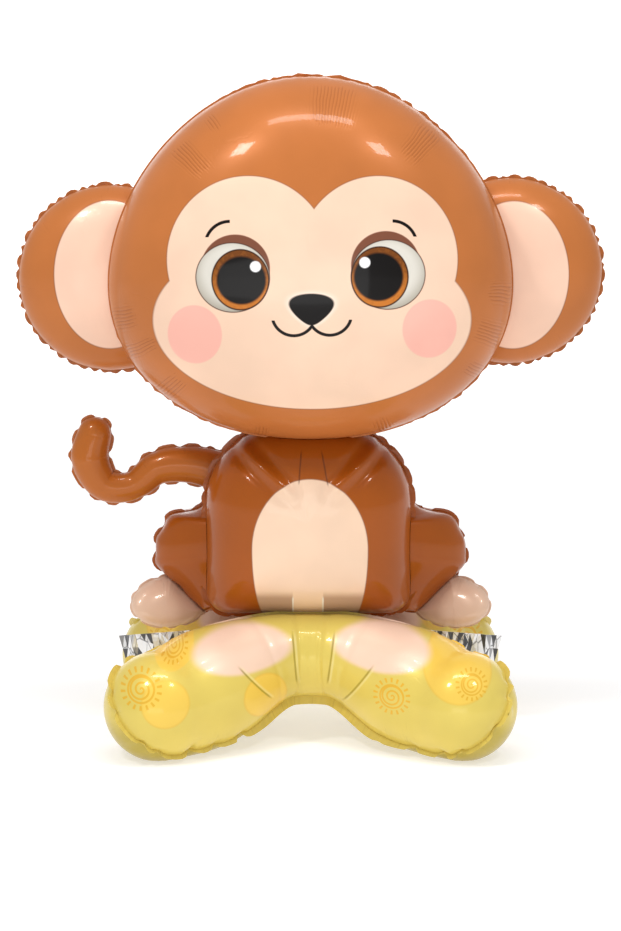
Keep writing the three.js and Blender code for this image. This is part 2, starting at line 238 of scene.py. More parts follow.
class Puckers:
    """Where the spare film gathers along a seam: places in mm along it, with a depth and a length each."""

    def __init__(self, length, pitch, depth, reach, seed, groups=(), calm=()):
        chance = random.Random(seed)
        count = max(3, round(length / pitch))
        self.length = length
        self.calm = calm
        self.items = []
        for i in range(count):
            at = (i + chance.uniform(-0.3, 0.3)) * length / count
            long = chance.random() ** 3
            self.items.append((at % length, depth * chance.uniform(0.45, 1.0),
                               reach * lerp(0.45, 1.7, long), chance.uniform(-1, 1)))
        for middle, spread, amount, deep, far in groups:
            for i in range(amount):
                at = (middle + (i / max(1, amount - 1) - 0.5) * spread) * length
                self.items.append((at % length, deep, far * chance.uniform(0.6, 1.0),
                                   chance.uniform(-1, 1)))

    def calmness(self, at):
        """1 where the weld runs smooth and 0 elsewhere, and how much wider the weld is there."""
        total, wider = 0.0, 0.0
        for middle, spread, more in self.calm:
            gap = self.gap(at, (middle * self.length,)) / (spread * self.length)
            near = 1 - smooth((gap - 0.6) / 0.6)
            total = max(total, near)
            wider += more * near
        return total, wider

    def fit(self, length):
        """Spread the puckers over a seam that turns out to be this long."""
        scale = length / self.length
        self.items = [(at * scale, deep, reach, lean) for at, deep, reach, lean in self.items]
        self.length = length

    def gap(self, at, item):
        away = abs(at - item[0]) % self.length
        return min(away, self.length - away)

    def depth(self, at, away, width):
        """How deep the film is drawn in, at a place along the seam and a distance from it."""
        total = 0.0
        strength = 1 - self.calmness(at)[0]
        for item in self.items:
            gap = self.gap(at, item)
            if gap < 3 * width and away < item[2]:
                total = max(total, item[1] * math.exp(-(gap / width) ** 2) * (1 - away / item[2]) ** 1.4)
        return total * strength

    def wave(self, at):
        """Which way the weld's edge leans at a place along the seam, from -1 to 1."""
        total = 0.0
        for item in self.items:
            total += item[3] * math.exp(-(self.gap(at, item) / 5.5) ** 2)
        return max(-1.0, min(1.0, total)) * (1 - self.calmness(at)[0])


def seam_length(points):
    count = len(points)
    return sum((Vector(points[i]) - Vector(points[(i + 1) % count])).length for i in range(count))


def resample(points, count):
    """Points at even steps round a closed line."""
    closed = [Vector(point) for point in points] + [Vector(points[0])]
    lengths = [0.0]
    for a, b in zip(closed, closed[1:]):
        lengths.append(lengths[-1] + (b - a).length)
    result, at = [], 0
    for i in range(count):
        target = lengths[-1] * i / count
        while lengths[at + 1] < target:
            at += 1
        share = (target - lengths[at]) / (lengths[at + 1] - lengths[at])
        result.append(closed[at].lerp(closed[at + 1], share))
    return result


def smooth_line(points, per_span, closed):
    """A soft curve through points."""
    count = len(points)
    spans = count if closed else count - 1
    result = []
    for i in range(spans):
        picked = []
        for j in range(i - 1, i + 3):
            near = j % count if closed else max(0, min(count - 1, j))
            picked.append(Vector(points[near]))
        a, b, c, d = picked
        for step in range(per_span):
            t = step / per_span
            result.append(0.5 * (2 * b + (c - a) * t + (2 * a - 5 * b + 4 * c - d) * t ** 2
                                 + (3 * b - a - 3 * c + d) * t ** 3))
    if not closed:
        result.append(Vector(points[-1]))
    return result


def meridian(rings, radius, half_thickness):
    """Shares of the radius at even steps along a dome, from pole to seam, and the steps' distances."""
    fine = 400
    line = [(0.0, 0.0)]
    before = (0.0, half_thickness)
    for i in range(1, fine + 1):
        share = 1 - (1 - i / fine) ** 2
        here = (share * radius, half_thickness * math.sqrt(max(0.0, 1 - share ** DOME_POWER)))
        line.append((line[-1][0] + math.dist(before, here), share))
        before = here
    total = line[-1][0]
    result, at = [], 0
    for ring in range(rings + 1):
        target = total * (1 - (1 - ring / rings) ** 1.15)
        while at < fine - 1 and line[at + 1][0] < target:
            at += 1
        low, high = line[at], line[at + 1]
        part = (target - low[0]) / max(1e-9, high[0] - low[0])
        result.append((min(1.0, lerp(low[1], high[1], part)), target))
    result[-1] = (1.0, total)
    return result


def inflate(piece, pattern, fixed, caps, pressure=3.0, frames=18):
    """Blow the film up. Its rest lengths come from the flat pattern, so spare film puckers at the seam."""
    start = [vertex.co.copy() for vertex in piece.data.vertices]
    only(piece)
    piece.shape_key_add(name="blown")
    flat = piece.shape_key_add(name="pattern")
    for i, point in enumerate(pattern):
        flat.data[i].co = Vector(point) * MM
    group = piece.vertex_groups.new(name="weld")
    group.add(fixed, 1.0, "REPLACE")
    cloth = piece.modifiers.new("Film", "CLOTH")
    film = cloth.settings
    film.quality = 5
    film.mass = 0.12
    film.tension_stiffness = 30
    film.compression_stiffness = 30
    film.shear_stiffness = 12
    film.bending_stiffness = 0.4
    film.tension_damping = 12
    film.compression_damping = 12
    film.shear_damping = 12
    film.use_pressure = True
    film.uniform_pressure_force = pressure
    film.effector_weights.gravity = 0
    film.vertex_group_mass = "weld"
    film.rest_shape_key = flat
    cloth.collision_settings.use_collision = False
    cloth.point_cache.frame_start = 1
    cloth.point_cache.frame_end = frames
    for step in range(1, frames + 1):
        bpy.context.scene.frame_set(step)
    blown = piece.evaluated_get(bpy.context.evaluated_depsgraph_get()).to_mesh()
    moved = []
    for vertex, home, cap in zip(blown.vertices, start, caps):
        move = vertex.co - home
        if move.length > cap * MM:
            move *= cap * MM / move.length
        moved.append((home + move) / MM)
    piece.to_mesh_clear()
    piece.modifiers.remove(cloth)
    piece.shape_key_clear()
    piece.vertex_groups.clear()
    place(piece, moved)
    bpy.context.scene.frame_set(1)


def weld_rim(name, seam, outwards, puckers, width=RIM_WIDTH, thin=RIM_THICKNESS):
    """The flat welded edge outside a seam: a ring whose outer edge is scalloped and waves to and fro."""
    count = len(seam)
    bpy.ops.mesh.primitive_torus_add(major_segments=count, minor_segments=4, major_radius=2,
                                     minor_radius=0.5, rotation=(math.pi / 2, 0, 0))
    piece = bpy.context.object
    piece.name = name
    settle(piece)
    length = seam_length(seam)
    places = [0.0]
    for a, b in zip(seam, seam[1:]):
        places.append(places[-1] + (Vector(b) - Vector(a)).length)
    points, steps = [], []
    for vertex in piece.data.vertices:
        x, y, z = vertex.co
        turn = round(math.atan2(z, x) / (2 * math.pi) * count) % count
        out = math.hypot(x, z) - 2
        at = places[turn] * puckers.length / length
        edge, (away, across) = Vector(seam[turn]), outwards[turn]
        drawn = puckers.depth(at, 0, 3.2)
        lean = puckers.wave(at) * 0.25 * width
        wide = width * (1 + puckers.calmness(at)[1])
        if abs(out) < 0.1:
            side = 1 if y > 0 else -1
            points.append(edge + away * (0.25 * wide) + across * (side * thin / 2 + 0.25 * lean))
            steps.append((turn, 1))
        elif out > 0:
            points.append(edge + away * max(0.4 * width, wide - 1.6 * drawn) + across * lean)
            steps.append((turn, 2))
        else:
            points.append(edge - away * 1.2)
            steps.append((turn, 0))
    place(piece, points)
    film_map(piece, steps, count, lambda turn, ring: places[turn] if turn < count else length,
             lambda turn, ring: -2.5 * ring)
    edit_all(piece, bpy.ops.mesh.normals_make_consistent, inside=False)
    return piece


def pillow(name, outline, middle, half_thickness, level, spokes, rings, puckers, pucker_width=3.0,
           spare=0.3, relief=None, cap=4.0, rim_width=RIM_WIDTH):
    """Two domes of film welded round an outline, with puckers that start at the weld."""
    outline = resample(outline, spokes)
    piece, steps = ball(name, spokes, 2 * rings)
    length = seam_length(outline)
    shelf = [meridian(rings, (edge - middle).length, half_thickness) for edge in outline]
    seam = []
    for turn, edge in enumerate(outline):
        drawn = puckers.depth(turn / spokes * length, 0, pucker_width) * SEAM_DRAW
        spoke = edge - middle
        seam.append(middle + spoke * (1 - drawn / spoke.length))
    points, pattern, fixed, caps = [], [], [], []
    for index, (turn, lean) in enumerate(steps):
        ring = min(lean, 2 * rings - lean)
        side = 1 if lean < rings else -1
        share, away = shelf[turn][ring]
        total = shelf[turn][rings][1]
        spoke = outline[turn] - middle
        at = turn / spokes * length
        height = half_thickness * math.sqrt(max(0.0, 1 - share ** DOME_POWER))
        drawn = puckers.depth(at, total - away, pucker_width) if 0 < ring < rings else 0
        if ring == rings:
            fixed.append(index)
            height = 0
            side = 0
        flat = middle + spoke * share
        raised = relief(flat.x, flat.y, side) if relief else 0
        slope = min(1.0, share ** 2)
        if ring == rings:
            flat_in = seam[turn]
        else:
            flat_in = flat - spoke.normalized() * (SEAM_DRAW * drawn * slope)
        deep = height - drawn * (1 - slope * 0.5) + raised
        points.append((flat_in.x, level(flat_in) + side * max(deep, 0.15 if ring < rings else 0), flat_in.y))
        wide = lerp(share * spoke.length, away, spare)
        spread = middle + spoke.normalized() * wide
        tall = lerp(1, 0, spare)
        pattern.append((spread.x, level(flat) + side * height * math.sqrt(tall), spread.y))
        caps.append(cap * lerp(0.12, 1.0, share ** 5))
    place(piece, points)

    def from_weld(turn, ring):
        spoke = shelf[turn % spokes]
        return spoke[rings][1] - spoke[min(ring, 2 * rings - ring)][1]

    film_map(piece, steps, spokes, lambda turn, ring: turn / spokes * length, from_weld)
    inflate(piece, pattern, fixed, caps)
    refine(piece)
    fine = resample([tuple(point) for point in seam], 2 * spokes)
    edges, outwards = [], []
    for i, point in enumerate(fine):
        along = (fine[(i + 1) % len(fine)] - fine[i - 1]).normalized()
        edges.append(Vector((point.x, level(point), point.y)))
        outwards.append((Vector((along.y, 0, -along.x)), Vector((0, 1, 0))))
    rim = weld_rim(name + "_weld", edges, outwards, puckers, width=rim_width)
    return piece, rim


def tube(name, centre, radius, across, stations, sides, puckers, dents=(), rim_width=RIM_WIDTH, cap=3.0,
         pucker_width=3.2, under=0):
    """A round tube of film along a line from end to end, with welds down both sides and round the ends.

    A dent is a place along it, a depth, a width, and the angles round it that it lies between. The attribute
    "under" is 1 on the half of the tube beyond the welds that the sign of under picks."""
    piece, steps = ball(name, sides, stations)
    caps = round(stations / 6)

    def frame_at(station):
        from_end = min(station, stations - station)
        turn = math.pi / 2 * (1 - min(1, from_end / caps))
        end = -1 if station < stations / 2 else 1
        along = min(1.0, max(0.0, (station - caps) / (stations - 2 * caps)))
        tangent = (centre(min(1, along + 0.004)) - centre(max(0, along - 0.004))).normalized()
        side = across(along)
        side = (side - tangent * side.dot(tangent)).normalized()
        up = tangent.cross(side)
        wide = radius(along)
        return (centre(along) + tangent * (end * wide * math.sin(turn)), tangent, side, up,
                wide * math.cos(turn), end * math.sin(turn), math.cos(turn), along)

    frames = [frame_at(station) for station in range(stations + 1)]
    seam, outwards = [], []
    for way, order in ((1, range(0, stations + 1)), (-1, range(stations - 1, 0, -1))):
        for station in order:
            middle, tangent, side, up, wide, ahead, cosine, along = frames[station]
            seam.append(middle + side * (way * wide))
            away = (side * (way * cosine) + tangent * ahead).normalized()
            outwards.append((away, up * way))
    length = seam_length(seam)
    puckers.fit(length)
    places, done = [0.0], 0.0
    for a, b in zip(seam, seam[1:]):
        done += (b - a).length
        places.append(done)

    def seam_place(station, way):
        return places[station] if way > 0 else places[(2 * stations - station) % (2 * stations)]

    points, pattern, fixed, beyond = [], [], [], []
    for index, (turn, station) in enumerate(steps):
        middle, tangent, side, up, wide, ahead, cosine, along = frames[station]
        angle = 2 * math.pi * turn / sides
        way = 1 if math.cos(angle) >= 0 else -1
        lean = abs(math.asin(max(-1, min(1, math.sin(angle)))))
        away = lean * max(wide, 1)
        at = seam_place(station, way)
        drawn = puckers.depth(at, away, pucker_width) * (0.55 + 0.45 * math.sin(lean))
        if lean < 1e-6:
            drawn = puckers.depth(at, 0, pucker_width) * SEAM_DRAW
            fixed.append(index)
        beyond.append(1.0 if math.sin(angle) * under > 1e-6 else 0.0)
        for where, deep, narrow, low, high in dents:
            gap = (along - where) * 2 * LOBE_SPREAD
            swing = math.degrees(angle) % 360
            if low < swing < high:
                fade = math.sin(math.pi * (swing - low) / (high - low)) ** 0.5
                drawn += deep * math.exp(-(gap / narrow) ** 2) * fade * cosine
        reach = max(0.0, wide - drawn)
        point = middle + side * (reach * math.cos(angle)) + up * (reach * math.sin(angle))
        points.append(point - tangent * (drawn * ahead * 0.7))
        spread = 0.25 * (math.pi / 2 - lean) * wide
        pattern.append(point + side * (way * max(0.0, spread - 0.25 * wide * abs(math.cos(angle)))))
    place(piece, points)
    piece.data.attributes.new("under", "FLOAT", "POINT").data.foreach_set("value", beyond)
    film_map(piece, steps, sides, lambda turn, ring: frames[ring][7] * length / 2,
             lambda turn, ring: abs(math.asin(max(-1, min(1, math.sin(2 * math.pi * turn / sides)))))
             * max(frames[ring][4], 1))
    inflate(piece, pattern, fixed, [cap] * len(points))
    refine(piece)
    fine_seam, fine_out = [], []
    count = len(seam)
    for i in range(count):
        j = (i + 1) % count
        fine_seam += [seam[i], (seam[i] + seam[j]) / 2]
        mean = tuple((outwards[i][k] + outwards[j][k]).normalized() for k in (0, 1))
        fine_out += [outwards[i], mean]
    drawn_seam = []
    at = 0.0
    for i, point in enumerate(fine_seam):
        drawn_seam.append(point - fine_out[i][0] * puckers.depth(at, 0, pucker_width) * SEAM_DRAW)
        at += (fine_seam[(i + 1) % len(fine_seam)] - point).length
    rim = weld_rim(name + "_weld", drawn_seam, fine_out, puckers, width=rim_width)
    return piece, rim


def room_for(*pieces):
    """A slightly swollen copy of pieces, which cuts what presses on them."""
    copies = []
    for piece in pieces:
        copy = piece.copy()
        copy.data = piece.data.copy()
        bpy.context.collection.objects.link(copy)
        finish_modifier(copy, "DISPLACE", strength=CONTACT_GAP * MM, mid_level=0)
        copies.append(copy)
    return copies


def cut_by(piece, rooms):
    for room in rooms:
        finish_modifier(piece, "BOOLEAN", operation="DIFFERENCE", solver="MANIFOLD", object=room)


def discard(rooms):
    for room in rooms:
        bpy.data.objects.remove(room)


class Sheet:
    """A node tree that is being drawn, with short ways to add its nodes."""

    def __init__(self, tree):
        self.tree = tree
        self.column = 0

    def node(self, kind, **settings):
        made = self.tree.nodes.new(kind)
        self.column += 1
        made.location = (40 * self.column, -60 * (self.column % 12))
        for name, value in settings.items():
            setattr(made, name, value)
        return made

    def link(self, value, socket):
        if isinstance(value, bpy.types.NodeSocket):
            self.tree.links.new(value, socket)
        elif value is not None:
            socket.default_value = value

    def split(self, vector):
        """A vector's X, Y and Z."""
        made = self.node("ShaderNodeSeparateXYZ")
        self.link(vector, made.inputs[0])
        return made.outputs

    def offset(self, parts, given):
        """How far a point lies to the right of a group's X and above its Z."""
        return (self.math("SUBTRACT", parts["X"], given["X"]), self.math("SUBTRACT", parts["Z"], given["Z"]))

    def length(self, right, up):
        return self.math("SQRT", self.math("ADD", self.math("MULTIPLY", right, right),
                                           self.math("MULTIPLY", up, up)))

    def most(self, masks):
        """The strongest of several masks."""
        strongest = masks[0]
        for mask in masks[1:]:
            strongest = self.math("MAXIMUM", strongest, mask)
        return strongest

    def bump(self, height, strength):
        made = self.node("ShaderNodeBump")
        made.inputs["Strength"].default_value = strength
        made.inputs["Distance"].default_value = 1.0
        self.link(height, made.inputs["Height"])
        return made.outputs[0]

    def math(self, operation, first, second=None, third=None, clamp=False):
        made = self.node("ShaderNodeMath", operation=operation, use_clamp=clamp)
        for value, socket in zip((first, second, third), made.inputs):
            self.link(value, socket)
        return made.outputs[0]

    def ramp(self, value, low, high, to_low=0.0, to_high=1.0, soft=True):
        made = self.node("ShaderNodeMapRange", interpolation_type="SMOOTHSTEP" if soft else "LINEAR")
        for socket, given in zip(made.inputs, (value, low, high, to_low, to_high)):
            self.link(given, socket)
        return made.outputs[0]

    def mix(self, share, first, second, blend="MIX"):
        made = self.node("ShaderNodeMix", data_type="RGBA", blend_type=blend)
        self.link(share, made.inputs[0])
        self.link(first, made.inputs[6])
        self.link(second, made.inputs[7])
        return made.outputs[2]

    def noise(self, vector, scale, detail=3.0, roughness=0.5, distortion=0.0):
        made = self.node("ShaderNodeTexNoise")
        self.link(vector, made.inputs["Vector"])
        made.inputs["Scale"].default_value = scale
        made.inputs["Detail"].default_value = detail
        made.inputs["Roughness"].default_value = roughness
        made.inputs["Distortion"].default_value = distortion
        return made.outputs["Fac"]

    def group(self, kit, **inputs):
        made = self.node("ShaderNodeGroup")
        made.node_tree = kit
        for name, value in inputs.items():
            self.link(value, made.inputs[name.replace("_", " ")])
        return made.outputs


def new_material(name):
    material = bpy.data.materials.new(name)
    material.use_nodes = True
    material.node_tree.nodes.clear()
    return material, Sheet(material.node_tree)


def surface(sheet, colour, roughness, normal=None, **constants):
    """The material's own shader. A constant is named as its socket is, with underscores for spaces."""
    shader = sheet.node("ShaderNodeBsdfPrincipled")
    sheet.link(colour, shader.inputs["Base Color"])
    sheet.link(roughness, shader.inputs["Roughness"])
    sheet.link(normal, shader.inputs["Normal"])
    for label, value in constants.items():
        shader.inputs[label.replace("_", " ")].default_value = value
    sheet.link(shader.outputs[0], sheet.node("ShaderNodeOutputMaterial").inputs[0])


def new_kit(name, inputs, outputs):
    kit = bpy.data.node_groups.new(name, "ShaderNodeTree")
    for label, kind, value in inputs:
        socket = kit.interface.new_socket(name=label, in_out="INPUT", socket_type=kind)
        if value is not None:
            socket.default_value = value
    for label, kind in outputs:
        kit.interface.new_socket(name=label, in_out="OUTPUT", socket_type=kind)
    sheet = Sheet(kit)
    return kit, sheet, sheet.node("NodeGroupInput").outputs, sheet.node("NodeGroupOutput").inputs


def srgb(red, green, blue):
    """A colour given as it looks on a screen, from 0 to 255."""
    def linear(value):
        value /= 255
        return value / 12.92 if value <= 0.04045 else ((value + 0.055) / 1.055) ** 2.4
    return (linear(red), linear(green), linear(blue), 1.0)


def oval_kit():
    """A filled oval in X and Z. It can be taller above its middle than below it, and taper upwards."""
    kit, sheet, given, out = new_kit("printed oval", [
        ("Vector", "NodeSocketVector", None), ("X", "NodeSocketFloat", 0.0), ("Z", "NodeSocketFloat", 0.0),
        ("Half Width", "NodeSocketFloat", 0.01), ("Half Above", "NodeSocketFloat", 0.01),
        ("Half Below", "NodeSocketFloat", 0.01), ("Taper", "NodeSocketFloat", 0.0),
        ("Soft", "NodeSocketFloat", 0.0006)], [("Mask", "NodeSocketFloat"), ("Line", "NodeSocketFloat")])
    parts = sheet.split(given["Vector"])
    right, up = sheet.offset(parts, given)
    above = sheet.math("GREATER_THAN", up, 0.0)
    tall = sheet.math("MULTIPLY_ADD", above, sheet.math("SUBTRACT", given["Half Above"], given["Half Below"]),
                      given["Half Below"])
    high = sheet.math("DIVIDE", up, tall)
    wide = sheet.math("MULTIPLY", given["Half Width"],
                      sheet.math("MAXIMUM", sheet.math("MULTIPLY_ADD", given["Taper"], high, 1.0), 0.05))
    across = sheet.math("DIVIDE", right, wide)
    far = sheet.length(across, high)
    edge = sheet.math("MULTIPLY", sheet.math("SUBTRACT", far, 1.0),
                      sheet.math("MINIMUM", given["Half Width"], tall))
    low = sheet.math("MULTIPLY", given["Soft"], -1.0)
    sheet.link(sheet.ramp(edge, low, given["Soft"], 1.0, 0.0), out["Mask"])
    line_width = sheet.math("MULTIPLY", given["Soft"], 1.6)
    sheet.link(sheet.ramp(sheet.math("ABSOLUTE", edge), 0.0, line_width, 1.0, 0.0), out["Line"])
    return kit


def stroke_kit():
    """Part of a round drawn line in X and Z, kept inside a box."""
    kit, sheet, given, out = new_kit("drawn stroke", [
        ("Vector", "NodeSocketVector", None), ("X", "NodeSocketFloat", 0.0), ("Z", "NodeSocketFloat", 0.0),
        ("Radius", "NodeSocketFloat", 0.02), ("Half Line", "NodeSocketFloat", 0.0014),
        ("Left", "NodeSocketFloat", -1.0), ("Right", "NodeSocketFloat", 1.0),
        ("Low", "NodeSocketFloat", -1.0), ("High", "NodeSocketFloat", 1.0)], [("Mask", "NodeSocketFloat")])
    parts = sheet.split(given["Vector"])
    right, up = sheet.offset(parts, given)
    far = sheet.length(right, up)
    off = sheet.math("ABSOLUTE", sheet.math("SUBTRACT", far, given["Radius"]))
    band = sheet.ramp(sheet.math("SUBTRACT", off, given["Half Line"]), -0.0004, 0.0004, 1.0, 0.0)
    for axis, low, high in (("X", "Left", "Right"), ("Z", "Low", "High")):
        band = sheet.math("MULTIPLY", band, sheet.math("GREATER_THAN", parts[axis], given[low]))
        band = sheet.math("MULTIPLY", band, sheet.math("LESS_THAN", parts[axis], given[high]))
    sheet.link(band, out["Mask"])
    return kit


def crease_kit():
    """A thin straight line from one point to another in X and Z, with soft ends."""
    kit, sheet, given, out = new_kit("thin crease", [
        ("Vector", "NodeSocketVector", None), ("X", "NodeSocketFloat", 0.0), ("Z", "NodeSocketFloat", 0.0),
        ("X End", "NodeSocketFloat", 0.0), ("Z End", "NodeSocketFloat", 0.01),
        ("Half Line", "NodeSocketFloat", 0.001)], [("Mask", "NodeSocketFloat")])
    parts = sheet.split(given["Vector"])
    span_x = sheet.math("SUBTRACT", given["X End"], given["X"])
    span_z = sheet.math("SUBTRACT", given["Z End"], given["Z"])
    right, up = sheet.offset(parts, given)
    run = sheet.math("MULTIPLY_ADD", right, span_x, sheet.math("MULTIPLY", up, span_z))
    whole = sheet.math("MULTIPLY_ADD", span_x, span_x, sheet.math("MULTIPLY", span_z, span_z))
    share = sheet.math("DIVIDE", run, whole, clamp=True)
    off_x = sheet.math("SUBTRACT", right, sheet.math("MULTIPLY", share, span_x))
    off_z = sheet.math("SUBTRACT", up, sheet.math("MULTIPLY", share, span_z))
    off = sheet.length(off_x, off_z)
    line = sheet.ramp(off, 0.0, given["Half Line"], 1.0, 0.0)
    ends = sheet.math("MULTIPLY", sheet.ramp(share, 0.0, 0.2), sheet.ramp(share, 0.85, 1.0, 1.0, 0.0))
    sheet.link(sheet.math("MULTIPLY", line, ends), out["Mask"])
    return kit


def pleat_kit():
    """A bunch of fine pleats that run in from the weld, at a place along it."""
    kit, sheet, given, out = new_kit("bunch of pleats", [
        ("Film", "NodeSocketVector", None), ("Place", "NodeSocketFloat", 0.0),
        ("Half Spread", "NodeSocketFloat", 0.01), ("Near", "NodeSocketFloat", 0.01),
        ("Far", "NodeSocketFloat", 0.05), ("Pitch", "NodeSocketFloat", 0.0035)],
        [("Wave", "NodeSocketFloat"), ("Mask", "NodeSocketFloat")])
    parts = sheet.split(given["Film"])
    wobble = sheet.math("MULTIPLY_ADD", sheet.noise(given["Film"], 24, 1.0), 0.006, parts["X"])
    gap = sheet.math("ABSOLUTE", sheet.math("SUBTRACT", parts["X"], given["Place"]))
    full = sheet.math("MULTIPLY", given["Half Spread"], 0.3)
    beside = sheet.ramp(gap, full, given["Half Spread"], 1.0, 0.0)
    ragged = sheet.math("MULTIPLY_ADD", sheet.noise(given["Film"], 140, 1.0), 0.02, parts["Y"])
    inner = sheet.ramp(ragged, given["Near"], sheet.math("ADD", given["Near"], 0.012))
    outer = sheet.ramp(ragged, sheet.math("SUBTRACT", given["Far"], 0.012), given["Far"], 1.0, 0.0)
    turn = sheet.math("DIVIDE", sheet.math("MULTIPLY", wobble, 2 * math.pi), given["Pitch"])
    wave = sheet.math("SINE", turn)
    mask = sheet.math("MULTIPLY", beside, sheet.math("MULTIPLY", inner, outer))
    sheet.link(sheet.math("MULTIPLY", wave, mask), out["Wave"])
    sheet.link(mask, out["Mask"])
    return kit


def sun_kit():
    """A drawn sun in X and Z: a spiral inside a ring of short rays."""
    kit, sheet, given, out = new_kit("spiral sun", [
        ("Vector", "NodeSocketVector", None), ("X", "NodeSocketFloat", 0.0), ("Z", "NodeSocketFloat", 0.0),
        ("Radius", "NodeSocketFloat", 0.012), ("Squash", "NodeSocketFloat", 1.0)],
        [("Mask", "NodeSocketFloat")])
    parts = sheet.split(given["Vector"])
    right, up = sheet.offset(parts, given)
    right = sheet.math("DIVIDE", right, given["Radius"])
    up = sheet.math("DIVIDE", up, sheet.math("MULTIPLY", given["Radius"], given["Squash"]))
    far = sheet.length(right, up)
    turn = sheet.math("DIVIDE", sheet.math("ARCTAN2", up, right), 2 * math.pi)
    coil = sheet.math("FRACT", sheet.math("ADD", sheet.math("MULTIPLY", far, 2.5), turn))
    line = sheet.ramp(sheet.math("ABSOLUTE", sheet.math("SUBTRACT", coil, 0.5)), 0.14, 0.24, 1.0, 0.0)
    line = sheet.math("MULTIPLY", line, sheet.math("LESS_THAN", far, 1.04))
    ring = sheet.ramp(sheet.math("ABSOLUTE", sheet.math("SUBTRACT", far, 1.0)), 0.05, 0.1, 1.0, 0.0)
    wedge = sheet.math("FRACT", sheet.math("MULTIPLY", turn, 18.0))
    ray = sheet.ramp(sheet.math("ABSOLUTE", sheet.math("SUBTRACT", wedge, 0.5)), 0.13, 0.22, 1.0, 0.0)
    ray = sheet.math("MULTIPLY", ray, sheet.math("GREATER_THAN", far, 1.22))
    ray = sheet.math("MULTIPLY", ray, sheet.math("LESS_THAN", far, 1.6))
    whole = sheet.math("MAXIMUM", sheet.math("MAXIMUM", line, ring), ray)
    sheet.link(whole, out["Mask"])
    return kit


def film_kit():
    """Metallised film: fine wrinkles that run in from the weld, soft dents, painted shade in the wrinkles'
    troughs, and painted shade along the weld.
    """
    kit, sheet, given, out = new_kit("foil film", [
        ("Vector", "NodeSocketVector", None), ("Film", "NodeSocketVector", None),
        ("Colour", "NodeSocketColor", None), ("Wrinkles", "NodeSocketFloat", 1.0),
        ("Weld Shade", "NodeSocketFloat", 1.0)],
        [("Colour", "NodeSocketColor"), ("Roughness", "NodeSocketFloat"), ("Height", "NodeSocketFloat")])
    parts = sheet.split(given["Film"])
    along, away = parts["X"], parts["Y"]
    stretched = sheet.node("ShaderNodeCombineXYZ")
    sheet.link(along, stretched.inputs[0])
    sheet.link(sheet.math("MULTIPLY", away, 0.12), stretched.inputs[1])
    groups = sheet.ramp(sheet.noise(stretched.outputs[0], 38, 1.0), 0.42, 0.62)
    fine = sheet.noise(stretched.outputs[0], 330, 2.0, 0.6)
    fade = sheet.ramp(away, 0.0, sheet.math("MULTIPLY_ADD", groups, 0.040, 0.005), 1.0, 0.0)
    furrows = sheet.math("MULTIPLY", sheet.math("MULTIPLY", fine, fade), given["Wrinkles"])
    dents = sheet.noise(given["Vector"], 16, 2.0, 0.45)
    creases = sheet.ramp(sheet.math("ABSOLUTE", sheet.math("SUBTRACT",
                         sheet.noise(given["Vector"], 26, 3.0, 0.55, 0.6), 0.5)), 0.0, 0.02, 1.0, 0.0)
    crease_groups = sheet.ramp(sheet.noise(given["Vector"], 9, 1.0), 0.52, 0.68)
    creases = sheet.math("MULTIPLY", creases, crease_groups)
    height = sheet.math("ADD", sheet.math("MULTIPLY", furrows, 0.0010), sheet.math("MULTIPLY", dents, 0.0007))
    height = sheet.math("ADD", height, sheet.math("MULTIPLY", creases, -0.00012))
    sheet.link(height, out["Height"])
    # Painted shade: the colour is darkened in the troughs of the fine wrinkles and, in patches, along the
    # weld.
    weld = sheet.ramp(away, -0.0012, 0.0006, 1.0, 0.0)
    wrinkle_painted_shade = sheet.math("MULTIPLY", sheet.ramp(fine, 0.42, 0.34), fade)
    painted_shade_colour = sheet.mix(0.5, given["Colour"], (0.30, 0.22, 0.17, 1), "MULTIPLY")
    shade = sheet.mix(sheet.math("MULTIPLY", wrinkle_painted_shade, 0.35), given["Colour"], painted_shade_colour)
    weld_painted_shade = sheet.ramp(sheet.noise(stretched.outputs[0], 120, 2.0), 0.35, 0.65, 0.35, 0.95)
    weld_painted_shade = sheet.math("MULTIPLY", weld_painted_shade, given["Weld Shade"])
    shade = sheet.mix(sheet.math("MULTIPLY", weld, weld_painted_shade), shade, painted_shade_colour)
    cloud = sheet.ramp(sheet.noise(given["Vector"], 11, 3.0), 0.3, 0.7, 0.93, 1.04)
    tint = sheet.node("ShaderNodeCombineColor")
    for socket in tint.inputs[:3]:
        sheet.link(cloud, socket)
    sheet.link(sheet.mix(1.0, shade, tint.outputs[0], "MULTIPLY"), out["Colour"])
    grain = sheet.noise(given["Vector"], 420, 2.0)
    sheet.link(sheet.math("ADD", sheet.ramp(grain, 0.3, 0.7, 0.0, 0.05),
                          sheet.math("MULTIPLY", weld, 0.08)), out["Roughness"])
    return kit


OVAL, STROKE, CREASE, PLEAT = oval_kit(), stroke_kit(), crease_kit(), pleat_kit()
SUN, FILM = sun_kit(), film_kit()


